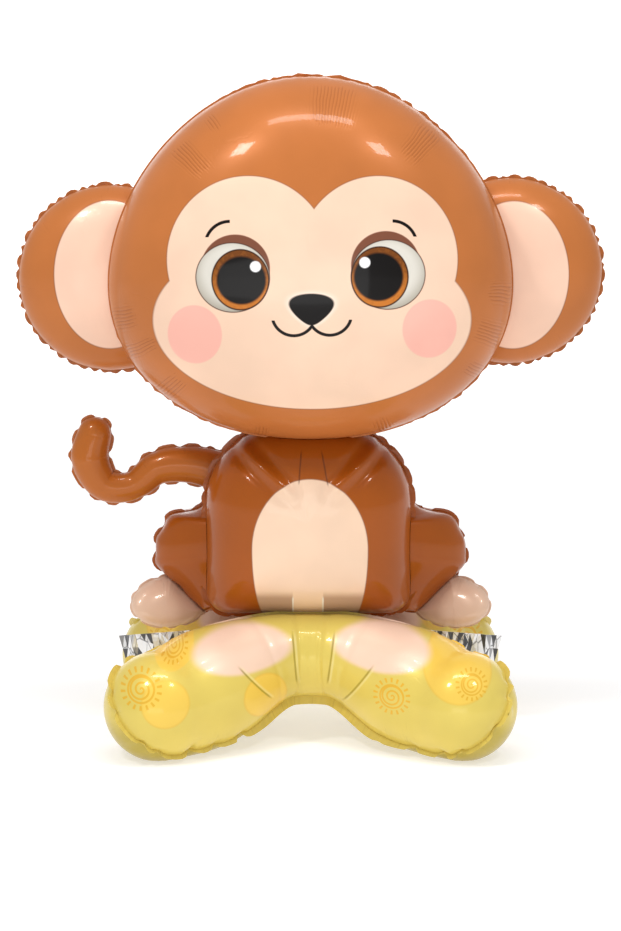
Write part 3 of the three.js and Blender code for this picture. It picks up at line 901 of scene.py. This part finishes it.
def film_material(name, colour, draw=None, pleats=(), coat=0.22, coat_roughness=0.06, wrinkles=1.0,
                  weld_shade=1.0):
    """Printed metallised film. draw(sheet, place, colour) gives the print's colour, with any painted shade
    and highlights, and its height. The troughs of the pleats are painted darker as shade.
    """
    material, sheet = new_material(name)
    where = sheet.node("ShaderNodeTexCoord").outputs["Object"]
    uv = sheet.node("ShaderNodeUVMap", uv_map="film")
    shown, relief = draw(sheet, where, colour) if draw else (colour, 0.0)
    for middle, half_spread, near, far in pleats:
        bunch = sheet.group(PLEAT, Film=uv.outputs[0], Place=middle * MM, Half_Spread=half_spread * MM,
                            Near=near * MM, Far=far * MM, Pitch=PLEAT_PITCH * MM)
        relief = sheet.math("MULTIPLY_ADD", bunch["Wave"], PLEAT_HEIGHT * MM, relief)
        # Painted shade: each pleat's troughs are darkened.
        painted_shade_colour = sheet.mix(1.0, shown, (0.62, 0.52, 0.45, 1), "MULTIPLY")
        pleat_trough_painted_shade = sheet.math("MULTIPLY", sheet.ramp(bunch["Wave"], -0.3, -0.95), 0.5)
        shown = sheet.mix(pleat_trough_painted_shade, shown, painted_shade_colour)
    film = sheet.group(FILM, Vector=where, Film=uv.outputs[0], Colour=shown, Wrinkles=wrinkles,
                       Weld_Shade=weld_shade)
    normal = sheet.bump(sheet.math("ADD", film["Height"], relief), 0.55)
    surface(sheet, film["Colour"], sheet.math("ADD", film["Roughness"], FILM_ROUGHNESS), normal,
            Metallic=0.08, Coat_Weight=coat, Coat_Roughness=coat_roughness, Specular_IOR_Level=0.12,
            Coat_IOR=1.5)
    return material


def oval(sheet, where, x, z, wide, above, below=None, taper=0.0, soft=0.5):
    return sheet.group(OVAL, Vector=where, X=x * MM, Z=z * MM, Half_Width=wide * MM, Half_Above=above * MM,
                       Half_Below=(above if below is None else below) * MM, Taper=taper, Soft=soft * MM)


def stroke(sheet, where, x, z, radius, half_line, left=-900, right=900, low=-900, high=900):
    return sheet.group(STROKE, Vector=where, X=x * MM, Z=z * MM, Radius=radius * MM, Half_Line=half_line * MM,
                       Left=left * MM, Right=right * MM, Low=low * MM, High=high * MM)["Mask"]


def crease(sheet, where, start, end, half_line):
    return sheet.group(CREASE, Vector=where, X=start[0] * MM, Z=start[1] * MM, X_End=end[0] * MM,
                       Z_End=end[1] * MM, Half_Line=half_line * MM)["Mask"]


def front_of(sheet, where, depth):
    """1 on the side of a level that looks along -Y."""
    parts = sheet.split(where)
    return sheet.math("LESS_THAN", parts["Y"], depth * MM)


BROWN = srgb(195, 116, 60)
DEEP_BROWN = srgb(167, 84, 16)
TAIL_BROWN = srgb(186, 104, 38)
CREAM = srgb(251, 217, 188)
PEACH = srgb(250, 209, 184)
PINK = srgb(255, 188, 172)
FOOT_BEIGE = srgb(232, 197, 172)
BLACK = srgb(14, 10, 9)
LID_BROWN = srgb(128, 78, 58)
EYE_WHITE = srgb(226, 221, 210)
IRIS_DARK, IRIS_BRIGHT = srgb(120, 66, 22), srgb(206, 122, 44)
YELLOW = srgb(228, 205, 102)
GOLD = srgb(255, 208, 82)
SUN_LINE = srgb(232, 182, 58)
BASE_PINK = srgb(250, 216, 192)
# Olive painted shade, for the base's creases and underside
OLIVE_PAINTED_SHADE = srgb(158, 138, 38)
PATCH_LINE = srgb(150, 92, 55)

def draw_face(sheet, where, colour):
    front = front_of(sheet, where, HEAD_LEVEL)
    patch = sheet.most([oval(sheet, where, x, z, wide, tall, soft=0.7)["Mask"]
                        for x, z, wide, tall in FACE_OVALS])
    line = sheet.most([oval(sheet, where, x, z, wide + 0.7, tall + 0.7, soft=0.7)["Mask"]
                       for x, z, wide, tall in FACE_OVALS])
    shown = sheet.mix(sheet.math("MULTIPLY", line, front), colour, PATCH_LINE)
    skin = sheet.mix(sheet.noise(where, 7, 1.0), CREAM, PEACH)
    for x, z in CHEEKS:
        cheek = oval(sheet, where, x, z, *CHEEK_HALF, soft=0.8)
        skin = sheet.mix(sheet.math("MULTIPLY", cheek["Mask"], 0.92), skin, PINK)
    for eye in EYES.values():
        lid = oval(sheet, where, *eye["lid"], *LID_HALF, soft=0.6)
        skin = sheet.mix(lid["Mask"], skin, LID_BROWN)
        white = oval(sheet, where, *eye["white"], *EYE_WHITE_HALF, soft=0.5)
        rim = oval(sheet, where, *eye["white"], EYE_WHITE_HALF[0] + 0.9, EYE_WHITE_HALF[1] + 0.9, soft=0.5)
        skin = sheet.mix(rim["Mask"], skin, srgb(84, 52, 38))
        ball_shade = oval(sheet, where, eye["white"][0], eye["white"][1] + 4, EYE_WHITE_HALF[0] * 0.95,
                          EYE_WHITE_HALF[1] * 0.95, soft=9)
        skin = sheet.mix(white["Mask"], skin, sheet.mix(ball_shade["Mask"], srgb(176, 168, 152), EYE_WHITE))
        edge = oval(sheet, where, *eye["iris"], *IRIS_HALF, soft=0.5)
        skin = sheet.mix(edge["Mask"], skin, srgb(66, 34, 14))
        iris = oval(sheet, where, *eye["iris"], IRIS_HALF[0] - 1.4, IRIS_HALF[1] - 1.4, soft=0.6)
        parts = sheet.split(where)
        bright = sheet.ramp(parts["Z"], (eye["iris"][1] + 22) * MM, (eye["iris"][1] - 24) * MM)
        flecks = sheet.ramp(sheet.noise(where, 260, 2.0), 0.35, 0.65, -0.12, 0.12)
        tone = sheet.mix(sheet.math("ADD", bright, flecks, clamp=True), IRIS_DARK, IRIS_BRIGHT)
        skin = sheet.mix(iris["Mask"], skin, tone)
        pupil_edge = oval(sheet, where, *eye["pupil"], PUPIL_HALF[0] + 1.2, PUPIL_HALF[1] + 1.2, soft=1.2)
        skin = sheet.mix(pupil_edge["Mask"], skin, srgb(60, 32, 14))
        pupil = oval(sheet, where, *eye["pupil"], *PUPIL_HALF, soft=0.6)
        skin = sheet.mix(pupil["Mask"], skin, BLACK)
        glint = oval(sheet, where, *eye["glint"], GLINT_HALF, GLINT_HALF, soft=0.7)
        skin = sheet.mix(glint["Mask"], skin, (1, 1, 1, 1))
    halo = oval(sheet, where, NOSE[0], NOSE[1], 22.5, 17, 17.5, taper=0.42, soft=2.2)
    skin = sheet.mix(sheet.math("MULTIPLY", halo["Mask"], 0.6), skin, srgb(255, 238, 222))
    ink = oval(sheet, where, NOSE[0], NOSE[1], 19.6, 14.6, 15.4, taper=0.45, soft=0.7)["Mask"]
    for x, z, left, right, high in SMILE:
        ink = sheet.math("MAXIMUM", ink, stroke(sheet, where, x, z, 20.4, 1.5, left, right, high=high))
    for x, z, left, right, low in BROWS:
        ink = sheet.math("MAXIMUM", ink, stroke(sheet, where, x, z, 23.3, 1.5, left, right, low=low))
    skin = sheet.mix(ink, skin, BLACK)
    return sheet.mix(sheet.math("MULTIPLY", patch, front), shown, skin), 0.0


def draw_ear(side):
    def draw(sheet, where, colour):
        x, z = (-197.0, 458.4) if side < 0 else (199.0, 457.9)
        front = front_of(sheet, where, EAR_LEVEL)
        ring = oval(sheet, where, x, z, 54.6, 73.0, soft=0.7)
        patch = oval(sheet, where, x, z, 53.8, 72.2, soft=0.7)
        shown = sheet.mix(sheet.math("MULTIPLY", ring["Mask"], front), colour, PATCH_LINE)
        return sheet.mix(sheet.math("MULTIPLY", patch["Mask"], front), shown, PEACH), 0.0
    return draw


def draw_belly(sheet, where, colour):
    front = front_of(sheet, where, TORSO_LEVEL)
    ring = oval(sheet, where, -0.5, 193, 57.2, 70.4, 128, soft=0.7)
    patch = oval(sheet, where, -0.5, 193, 56.4, 69.6, 127, soft=0.7)
    shown = sheet.mix(sheet.math("MULTIPLY", ring["Mask"], front), colour, PATCH_LINE)
    parts = sheet.split(where)
    # Painted shade: a brown-grey band darkens the lowest part of the belly patch, left and right of the
    # middle, standing in for shade and a dark reflection.
    low = sheet.ramp(parts["Z"], 0.152, 0.142)
    off_middle = sheet.math("ABSOLUTE", sheet.math("SUBTRACT", parts["X"], -0.0025))
    sides = sheet.ramp(off_middle, 0.0142, 0.0156)
    shade = sheet.math("MULTIPLY", sheet.math("MULTIPLY", low, sides), 0.6)
    skin = sheet.mix(shade, CREAM, srgb(150, 106, 88))
    # Painted highlights: two short pale lines low on the belly patch.
    painted_crease_highlight = sheet.most([crease(sheet, where, start, end, 1.3) for start, end in LOW_CREASE_HIGHLIGHTS])
    skin = sheet.mix(painted_crease_highlight, skin, (1, 0.95, 0.9, 1))
    shown = sheet.mix(sheet.math("MULTIPLY", patch["Mask"], front), shown, skin)
    # Painted shade: the neck creases are drawn as dark lines, and also pressed in as dents.
    fold_lines_painted_dark = sheet.most([crease(sheet, where, start, end, 1.3) for start, end in NECK_CREASES])
    fold_lines_painted_dark = sheet.math("MULTIPLY", fold_lines_painted_dark, front)
    shown = sheet.mix(sheet.math("MULTIPLY", fold_lines_painted_dark, 0.7), shown, srgb(96, 48, 20))
    return shown, sheet.math("MULTIPLY", fold_lines_painted_dark, -0.0006)


def draw_base(side):
    def draw(sheet, where, colour):
        parts = sheet.split(where)
        outer = sheet.math("GREATER_THAN", sheet.math("MULTIPLY", parts["Y"], float(side)), 0.018)
        shown = colour
        for x, z, wide, tall in GOLD_SPOTS:
            spot = oval(sheet, where, -side * x, z, wide, tall, soft=1.2)
            strength = sheet.math("MULTIPLY", outer, 0.6)
            shown = sheet.mix(sheet.math("MULTIPLY", spot["Mask"], strength), shown, GOLD)
            if wide > 19.5:
                line = sheet.math("MULTIPLY", spot["Line"], sheet.math("MULTIPLY", outer, 0.3))
                shown = sheet.mix(line, shown, SUN_LINE)
        for x, z, wide, tall in PINK_SPOTS:
            spot = oval(sheet, where, -side * x, z, wide, tall, soft=2.6)
            shown = sheet.mix(sheet.math("MULTIPLY", spot["Mask"], outer), shown, BASE_PINK)
        for x, z, radius, squash in SUNS:
            sun = sheet.group(SUN, Vector=where, X=-side * x * MM, Z=z * MM, Radius=radius * MM,
                              Squash=squash)
            shown = sheet.mix(sheet.math("MULTIPLY", sun["Mask"], outer), shown, SUN_LINE)

        def bend_lines(aside, half_line):
            lines = [crease(sheet, where, (-side * x + aside, z), (-side * end_x + aside, end_z), half_line)
                     for (x, z), (end_x, end_z) in BEND_CREASES]
            return sheet.math("MULTIPLY", sheet.most(lines), outer)

        # Painted shade: olive lines along the creases; painted highlight: pale yellow lines just beside them.
        fold_lines_painted_dark = bend_lines(0, 1.5)
        beside = bend_lines(2.2, 1.8)
        shown = sheet.mix(sheet.math("MULTIPLY", beside, 0.45), shown, srgb(250, 238, 170))
        shown = sheet.mix(sheet.math("MULTIPLY", fold_lines_painted_dark, 0.75), shown, OLIVE_PAINTED_SHADE)
        # Painted shade: olive on the half beyond the weld that faces down, low on the base.
        under = sheet.node("ShaderNodeAttribute", attribute_name="under")
        low = sheet.math("MULTIPLY", sheet.ramp(under.outputs["Fac"], 0.3, 0.6),
                         sheet.ramp(parts["Z"], 0.05, 0.025))
        shown = sheet.mix(sheet.math("MULTIPLY", low, 0.55), shown, OLIVE_PAINTED_SHADE)
        return shown, sheet.math("MULTIPLY", fold_lines_painted_dark, -0.0007)
    return draw


def silver_material():
    material, sheet = new_material("crinkled silver film")
    where = sheet.node("ShaderNodeTexCoord").outputs["Object"]
    facet = sheet.node("ShaderNodeAttribute", attribute_name="facet")
    # Painted reflection: each facet is near black, near white or between, at random, standing in for the
    # crinkled foil's reflections.
    painted_facet_reflection = sheet.mix(sheet.ramp(facet.outputs["Fac"], 0.18, 0.5), (0.09, 0.092, 0.1, 1), (0.9, 0.91, 0.93, 1))
    shards = sheet.node("ShaderNodeTexVoronoi", feature="DISTANCE_TO_EDGE")
    long = sheet.node("ShaderNodeMapping")
    sheet.link(where, long.inputs["Vector"])
    long.inputs["Rotation"].default_value = (0, 0.6, 0)
    long.inputs["Scale"].default_value = (1.0, 1.0, 0.4)
    sheet.link(long.outputs[0], shards.inputs["Vector"])
    shards.inputs["Scale"].default_value = 120
    # Painted shade: dark lines along the crinkles' folds.
    fold_lines_painted_dark = sheet.ramp(shards.outputs["Distance"], 0.0, 0.05, 1.0, 0.0)
    shown = sheet.mix(sheet.math("MULTIPLY", fold_lines_painted_dark, 0.7), painted_facet_reflection, (0.03, 0.03, 0.035, 1))
    normal = sheet.bump(sheet.math("MULTIPLY", sheet.noise(where, 90, 2.0), 0.0015), 0.8)
    surface(sheet, shown, sheet.ramp(facet.outputs["Fac"], 0.0, 1.0, 0.34, 0.18), normal, Metallic=0.4)
    return material


def wear(piece, material, slot, *nodes):
    """Put one material on a piece, smooth it, attach it to the root, and hide the frame's parts that it
    stands in for.
    """
    piece.data.materials.clear()
    piece.data.materials.append(material)
    for face in piece.data.polygons:
        face.material_index = 0
    only(piece)
    bpy.ops.object.shade_smooth_by_angle(angle=math.radians(50))
    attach(piece, "root")
    if nodes:
        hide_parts(*nodes)


def make_camera():
    bpy.ops.object.camera_add(location=CAMERA_PLACE)
    camera = bpy.context.object
    aim = Vector(CAMERA_AIM) - camera.location
    camera.rotation_euler = aim.to_track_quat("-Z", "Y").to_euler()
    camera.data.lens = CAMERA_LENS
    camera.data.sensor_width = CAMERA_SENSOR
    camera.data.dof.use_dof = False
    bpy.context.scene.camera = camera


def softbox(name, location, target, size, watts):
    bpy.ops.object.light_add(type="AREA", location=location)
    light = bpy.context.object
    light.name = name
    light.data.shape = "RECTANGLE"
    light.data.size, light.data.size_y = size
    light.data.energy = watts
    light.rotation_euler = (Vector(target) - Vector(location)).to_track_quat("-Z", "Y").to_euler()


def make_studio():
    bpy.ops.mesh.primitive_plane_add(size=1, location=(0, 0, 0))
    floor = bpy.context.object
    floor.name = "floor"
    floor.scale = (BACKDROP_WIDTH, 2 * BACKDROP_AWAY, 1)
    settle(floor)
    bpy.ops.object.mode_set(mode="EDIT")
    bpy.ops.mesh.select_all(action="DESELECT")
    bpy.ops.object.mode_set(mode="OBJECT")
    for edge in floor.data.edges:
        edge.select = all(floor.data.vertices[i].co.y > 0.9 * BACKDROP_AWAY for i in edge.vertices)
    bpy.ops.object.mode_set(mode="EDIT")
    bpy.ops.mesh.select_mode(type="EDGE")
    bpy.ops.mesh.extrude_region_move(TRANSFORM_OT_translate={"value": (0, 0, BACKDROP_HEIGHT)})
    bpy.ops.object.mode_set(mode="OBJECT")
    finish_modifier(floor, "BEVEL", width=BACKDROP_CURVE, segments=14, limit_method="ANGLE")
    bpy.ops.object.shade_smooth()
    material, sheet = new_material("pale backdrop")
    where = sheet.node("ShaderNodeTexCoord").outputs["Object"]
    tone = sheet.mix(sheet.noise(where, 3, 2.0), (0.62, 0.62, 0.62, 1), (0.66, 0.66, 0.66, 1))
    surface(sheet, tone, 0.85, Emission_Color=(1, 1, 1, 1), Emission_Strength=0.5)
    floor.data.materials.append(material)
    for light in LIGHTS:
        softbox(*light)
    world = bpy.data.worlds.new("studio")
    world.use_nodes = True
    sky = world.node_tree.nodes["Background"]
    sky.inputs[0].default_value = (1, 1, 1, 1)
    sky.inputs[1].default_value = WORLD_LIGHT
    bpy.context.scene.world = world
    bpy.context.scene.view_settings.view_transform = "Standard"


def head_outline():
    def fuller(share):
        return math.copysign(abs(share) ** (2 / HEAD_FULLNESS), share)
    points = []
    for i in range(720):
        angle = 2 * math.pi * i / 720
        up = fuller(math.sin(angle))
        wide = HEAD_HALF_WIDTH * (1 - HEAD_TAPER * up)
        points.append((wide * fuller(math.cos(angle)), HEAD_MIDDLE + HEAD_HALF_HEIGHT * up))
    return points


def torso_outline():
    shoulder = TORSO_TOP - TORSO_SHOULDER_RISE
    points = []
    for i in range(121):
        angle = math.pi * i / 120
        points.append((TORSO_HALF_WIDTH * math.cos(angle), shoulder + TORSO_SHOULDER_RISE * math.sin(angle)))
    for side in (-1, 1):
        for i in range(21):
            angle = math.pi * (1 + i / 40) if side < 0 else math.pi * (1.5 + i / 40)
            x = side * (TORSO_HALF_WIDTH - TORSO_CORNER) + TORSO_CORNER * math.cos(angle)
            points.append((x, TORSO_BOTTOM + TORSO_CORNER * (1 + math.sin(angle))))
    return [(x + TORSO_SHIFT, z) for x, z in points]


def torso_folds(x, z, side):
    """Soft folds that run down from the neck towards the belly, on the front."""
    if side >= 0:
        return 0
    total = 0.0
    for start, end in TORSO_FOLDS:
        a, b = Vector(start), Vector(end)
        span = b - a
        share = min(1.0, max(0.0, (Vector((x, z)) - a).dot(span) / span.length_squared))
        gap = (Vector((x, z)) - a.lerp(b, share)).length
        total += 4.0 * math.exp(-(gap / 5) ** 2) - 2.6 * math.exp(-((gap - 11) / 5) ** 2)
    return total * smooth((z - 225) / 40)


def below_weld(x, z):
    """How far a point lies below the line where a foot is welded to its haunch."""
    return ((abs(x) - WELD_OUT) - (z - WELD_UP)) / math.sqrt(2)


def rear_level(point):
    return HAUNCH_LEVEL - FOOT_FOLD * max(0.0, below_weld(point.x, point.y))


def foot_outline(side):
    points = []
    for i in range(240):
        angle = 2 * math.pi * i / 240
        x, z = FOOT_OUT + FOOT_LENGTH * math.cos(angle), FOOT_UP + FOOT_HEIGHT * math.sin(angle)
        back = max(0.0, -FOOT_OVERLAP - below_weld(x, z)) / math.sqrt(2)
        points.append((side * (x + back), z - back))
    return points if side > 0 else points[::-1]


def cushion_centre(side):
    def centre(along):
        share = 2 * along - 1
        out = abs(share)
        y = side * lerp(BEND_REACH, LOBE_REACH, out ** LOBE_SWEEP)
        down = smooth((out - BEND_SPAN) / (1 - BEND_SPAN))
        return Vector((share * LOBE_SPREAD, y, lerp(BEND_HEIGHT, LOBE_HEIGHT, down)))
    return centre


def cushion_radius(along):
    out = abs(2 * along - 1)
    swell = CUSHION_SWELL * math.sin(math.pi * out ** CUSHION_SWELL_OUT) ** 2
    return lerp(BEND_RADIUS, LOBE_RADIUS, smooth(out)) + swell


def press_flat(*pieces):
    """What would go below the floor lies flat on it."""
    for piece in pieces:
        for vertex in piece.data.vertices:
            vertex.co.z = max(vertex.co.z, 0.0)


def make_head():
    outline = head_outline()
    puckers = Puckers(seam_length(outline), pitch=13, depth=1.5, reach=9, seed=11, groups=HEAD_GROUPS,
                      calm=CALM_HEAD)
    return pillow("head", outline, Vector((0, HEAD_MIDDLE)), HEAD_HALF_THICKNESS, lambda point: HEAD_LEVEL,
                  spokes=320, rings=24, puckers=puckers, pucker_width=2.7, spare=0.12, rim_width=3.4)


def make_ear(side):
    up = EAR_LEFT_UP if side < 0 else EAR_RIGHT_UP
    middle = Vector((side * EAR_OUT, up))
    outline = []
    for i in range(360):
        angle = 2 * math.pi * i / 360
        outline.append((middle.x + EAR_RADIUS * math.cos(angle), middle.y + EAR_RADIUS * math.sin(angle)))
    puckers = Puckers(seam_length(outline), pitch=12, depth=1.9, reach=9, seed=21 if side < 0 else 22)
    name = "ear_left" if side < 0 else "ear_right"
    return pillow(name, outline, middle, EAR_HALF_THICKNESS, lambda point: EAR_LEVEL,
                  spokes=192, rings=15, puckers=puckers, spare=0.3, rim_width=3.6)


def make_torso():
    outline = torso_outline()
    puckers = Puckers(seam_length(outline), pitch=20, depth=1.3, reach=9, seed=31, groups=TORSO_GROUPS)
    middle = Vector((TORSO_SHIFT, (TORSO_BOTTOM + TORSO_TOP) / 2))
    return pillow("torso", outline, middle, TORSO_HALF_THICKNESS, lambda point: TORSO_LEVEL,
                  spokes=224, rings=18, puckers=puckers, relief=torso_folds, spare=0.2)


def make_haunches():
    right = list(HAUNCH_OUTLINE)
    left = [(-x, z) for x, z in reversed(right)]
    outline = [tuple(point) for point in smooth_line(right + [HUMP_TOP] + left, 12, True)]
    puckers = Puckers(seam_length(outline), pitch=27, depth=9.5, reach=13, seed=41)
    return pillow("haunches", outline, Vector((0, HAUNCH_MIDDLE)), HAUNCH_HALF_THICKNESS, rear_level,
                  spokes=232, rings=14, puckers=puckers, pucker_width=7.0, spare=0.15, rim_width=3)


def make_foot(side):
    outline = foot_outline(side)
    middle = sum((Vector(point) for point in outline), Vector((0, 0))) / len(outline)
    puckers = Puckers(seam_length(outline), pitch=19, depth=1.2, reach=9, seed=51 if side < 0 else 52)
    name = "foot_left" if side < 0 else "foot_right"
    return pillow(name, outline, middle, FOOT_THICKNESS, rear_level, spokes=96, rings=9, puckers=puckers,
                  spare=0.15, cap=3.0, rim_width=2)


def make_tail():
    route = smooth_line([(x, HAUNCH_LEVEL, z) for x, z, wide in TAIL_ROUTE], 16, False)
    spans = len(route) - 1

    def centre(along):
        at = along * spans
        low = min(int(at), spans - 1)
        return route[low].lerp(route[low + 1], at - low)

    def radius(along):
        at = along * (len(TAIL_ROUTE) - 1)
        low = min(int(at), len(TAIL_ROUTE) - 2)
        return lerp(TAIL_ROUTE[low][2], TAIL_ROUTE[low + 1][2], at - low) + 2

    def across(along):
        ahead = centre(min(1, along + 0.01)) - centre(max(0, along - 0.01))
        return ahead.normalized().cross(Vector((0, 1, 0)))

    puckers = Puckers(TAIL_SEAM, pitch=20, depth=3.6, reach=10, seed=61)
    return tube("tail", centre, radius, across, stations=96, sides=24, puckers=puckers, rim_width=2.5,
                cap=2.0, pucker_width=4.5)


def make_cushion(side):
    name = "base_front" if side < 0 else "base_rear"
    puckers = Puckers(CUSHION_SEAM, pitch=27, depth=6.5, reach=20, seed=71 if side < 0 else 72,
                      calm=CALM_WELD)

    def across(along):
        turn = lerp(BEND_SEAM_TURN, LOBE_SEAM_TURN, smooth(abs(2 * along - 1)))
        return Vector((0, side * math.cos(turn), -math.sin(turn)))

    dents = [(0.5 + where / 2, deep, 3.4, low, low + 180) for where, deep in BEND_DENTS for low in (0, 180)]
    return tube(name, cushion_centre(side), cushion_radius, across, stations=132, sides=48, puckers=puckers,
                dents=dents, cap=4.0, pucker_width=5.5, under=-side)


def make_strip():
    """The crinkled strip between the cushions: a grid folded into facets, with a film's thickness."""
    columns, rows = 70, 2
    bpy.ops.mesh.primitive_grid_add(x_subdivisions=columns, y_subdivisions=rows, size=2,
                                    rotation=(math.pi / 2, 0, 0))
    piece = bpy.context.object
    piece.name = "silver_strip"
    settle(piece)
    chance = random.Random(81)
    points = []
    for vertex in piece.data.vertices:
        share, up = vertex.co.x, (vertex.co.z + 1) / 2
        top = STRIP_TOP - 13 * share ** 2
        x = share * lerp(186.5, 194, up)
        fold = 1.0 if 0.02 < up < 0.98 else 0.6
        rough = chance.uniform(-1, 1) * 2.0 * fold * smooth((abs(share) - 0.5) / 0.15)
        inner = 0.02 < up < 0.98 and abs(share) < 0.97
        slide, lift = (chance.uniform(-2, 2), chance.uniform(-7, 7)) if inner else (0, 0)
        points.append((x + slide, 13 * share ** 6 + rough, top - STRIP_HEIGHT * (1 - up) + lift))
    place(piece, points)
    edit_all(piece, bpy.ops.mesh.quads_convert_to_tris, quad_method="SHORTEST_DIAGONAL")
    # Each facet's random share between dark and light, for the silver film's painted reflection.
    facet_reflection_tones = piece.data.attributes.new("facet", "FLOAT", "FACE")
    for face in piece.data.polygons:
        facet_reflection_tones.data[face.index].value = chance.random()
    finish_modifier(piece, "SOLIDIFY", thickness=0.8 * MM, offset=0)
    return piece


make_camera()
make_studio()

head, head_weld = make_head()
ears = {side: make_ear(side) for side in (-1, 1)}
torso, torso_weld = make_torso()
haunches, haunches_weld = make_haunches()
feet = {side: make_foot(side) for side in (-1, 1)}
tail, tail_weld = make_tail()
cushions = {side: make_cushion(side) for side in (-1, 1)}
strip = make_strip()

head_room = room_for(head, head_weld)
torso_room = room_for(torso, torso_weld)
base_room = room_for(cushions[-1][0], cushions[1][0], strip)
for side in (-1, 1):
    for part in ears[side]:
        cut_by(part, head_room)
    press_flat(*cushions[side])
for part in (torso, torso_weld):
    cut_by(part, head_room[:1] + base_room[:2])
for part in (haunches, haunches_weld, tail, tail_weld, *feet[-1], *feet[1]):
    cut_by(part, torso_room + base_room)
for rooms in (head_room, torso_room, base_room):
    discard(rooms)

head = join([head, head_weld], "head_film")
head_seam = seam_length(head_outline())
head_pleats = [(share * head_seam, half, near, far) for share, half, near, far in HEAD_PLEATS]
wear(head, film_material("head film", BROWN, draw_face, head_pleats, weld_shade=0.4), "brown_film", "head")
for side, node in ((-1, "ear_left"), (1, "ear_right")):
    ear = join(list(ears[side]), node + "_film")
    wear(ear, film_material(node.replace("_", " ") + " film", BROWN, draw_ear(side)), "brown_film", node)
torso = join([torso, torso_weld], "torso_film")
torso_film = film_material("torso film", DEEP_BROWN, draw_belly, coat=0.4, coat_roughness=0.05,
                           wrinkles=0.12, weld_shade=0.6)
wear(torso, torso_film, "dark_brown_film", "torso")
haunches = join([haunches, haunches_weld], "haunches_film")
brown_rear = film_material("haunch film", DEEP_BROWN, coat=0.4, coat_roughness=0.05,
                           wrinkles=0.5, weld_shade=0.3)
wear(haunches, brown_rear, "dark_brown_film", "haunches_feet_tail")
tail = join([tail, tail_weld], "tail_film")
tail_brown = film_material("tail film", TAIL_BROWN, coat=0.4, coat_roughness=0.05, wrinkles=0.5,
                           weld_shade=0.4)
wear(tail, tail_brown, "dark_brown_film", "haunches_feet_tail")
foot_film = film_material("foot film", FOOT_BEIGE, coat=0.4, weld_shade=0.25)
for side, name in ((-1, "foot_left_film"), (1, "foot_right_film")):
    foot = join(list(feet[side]), name)
    wear(foot, foot_film, "dark_brown_film", "haunches_feet_tail")
for side, name in ((-1, "base_front"), (1, "base_rear")):
    cushion = join(list(cushions[side]), name + "_film")
    wear(cushion, film_material(name.replace("_", " ") + " film", YELLOW, draw_base(side), coat=0.4,
                               coat_roughness=0.05, weld_shade=0.3), "yellow_film", name + "_cushion")
wear(strip, silver_material(), "silver_film", "silver_strip")
only(strip)
bpy.ops.object.shade_flat()
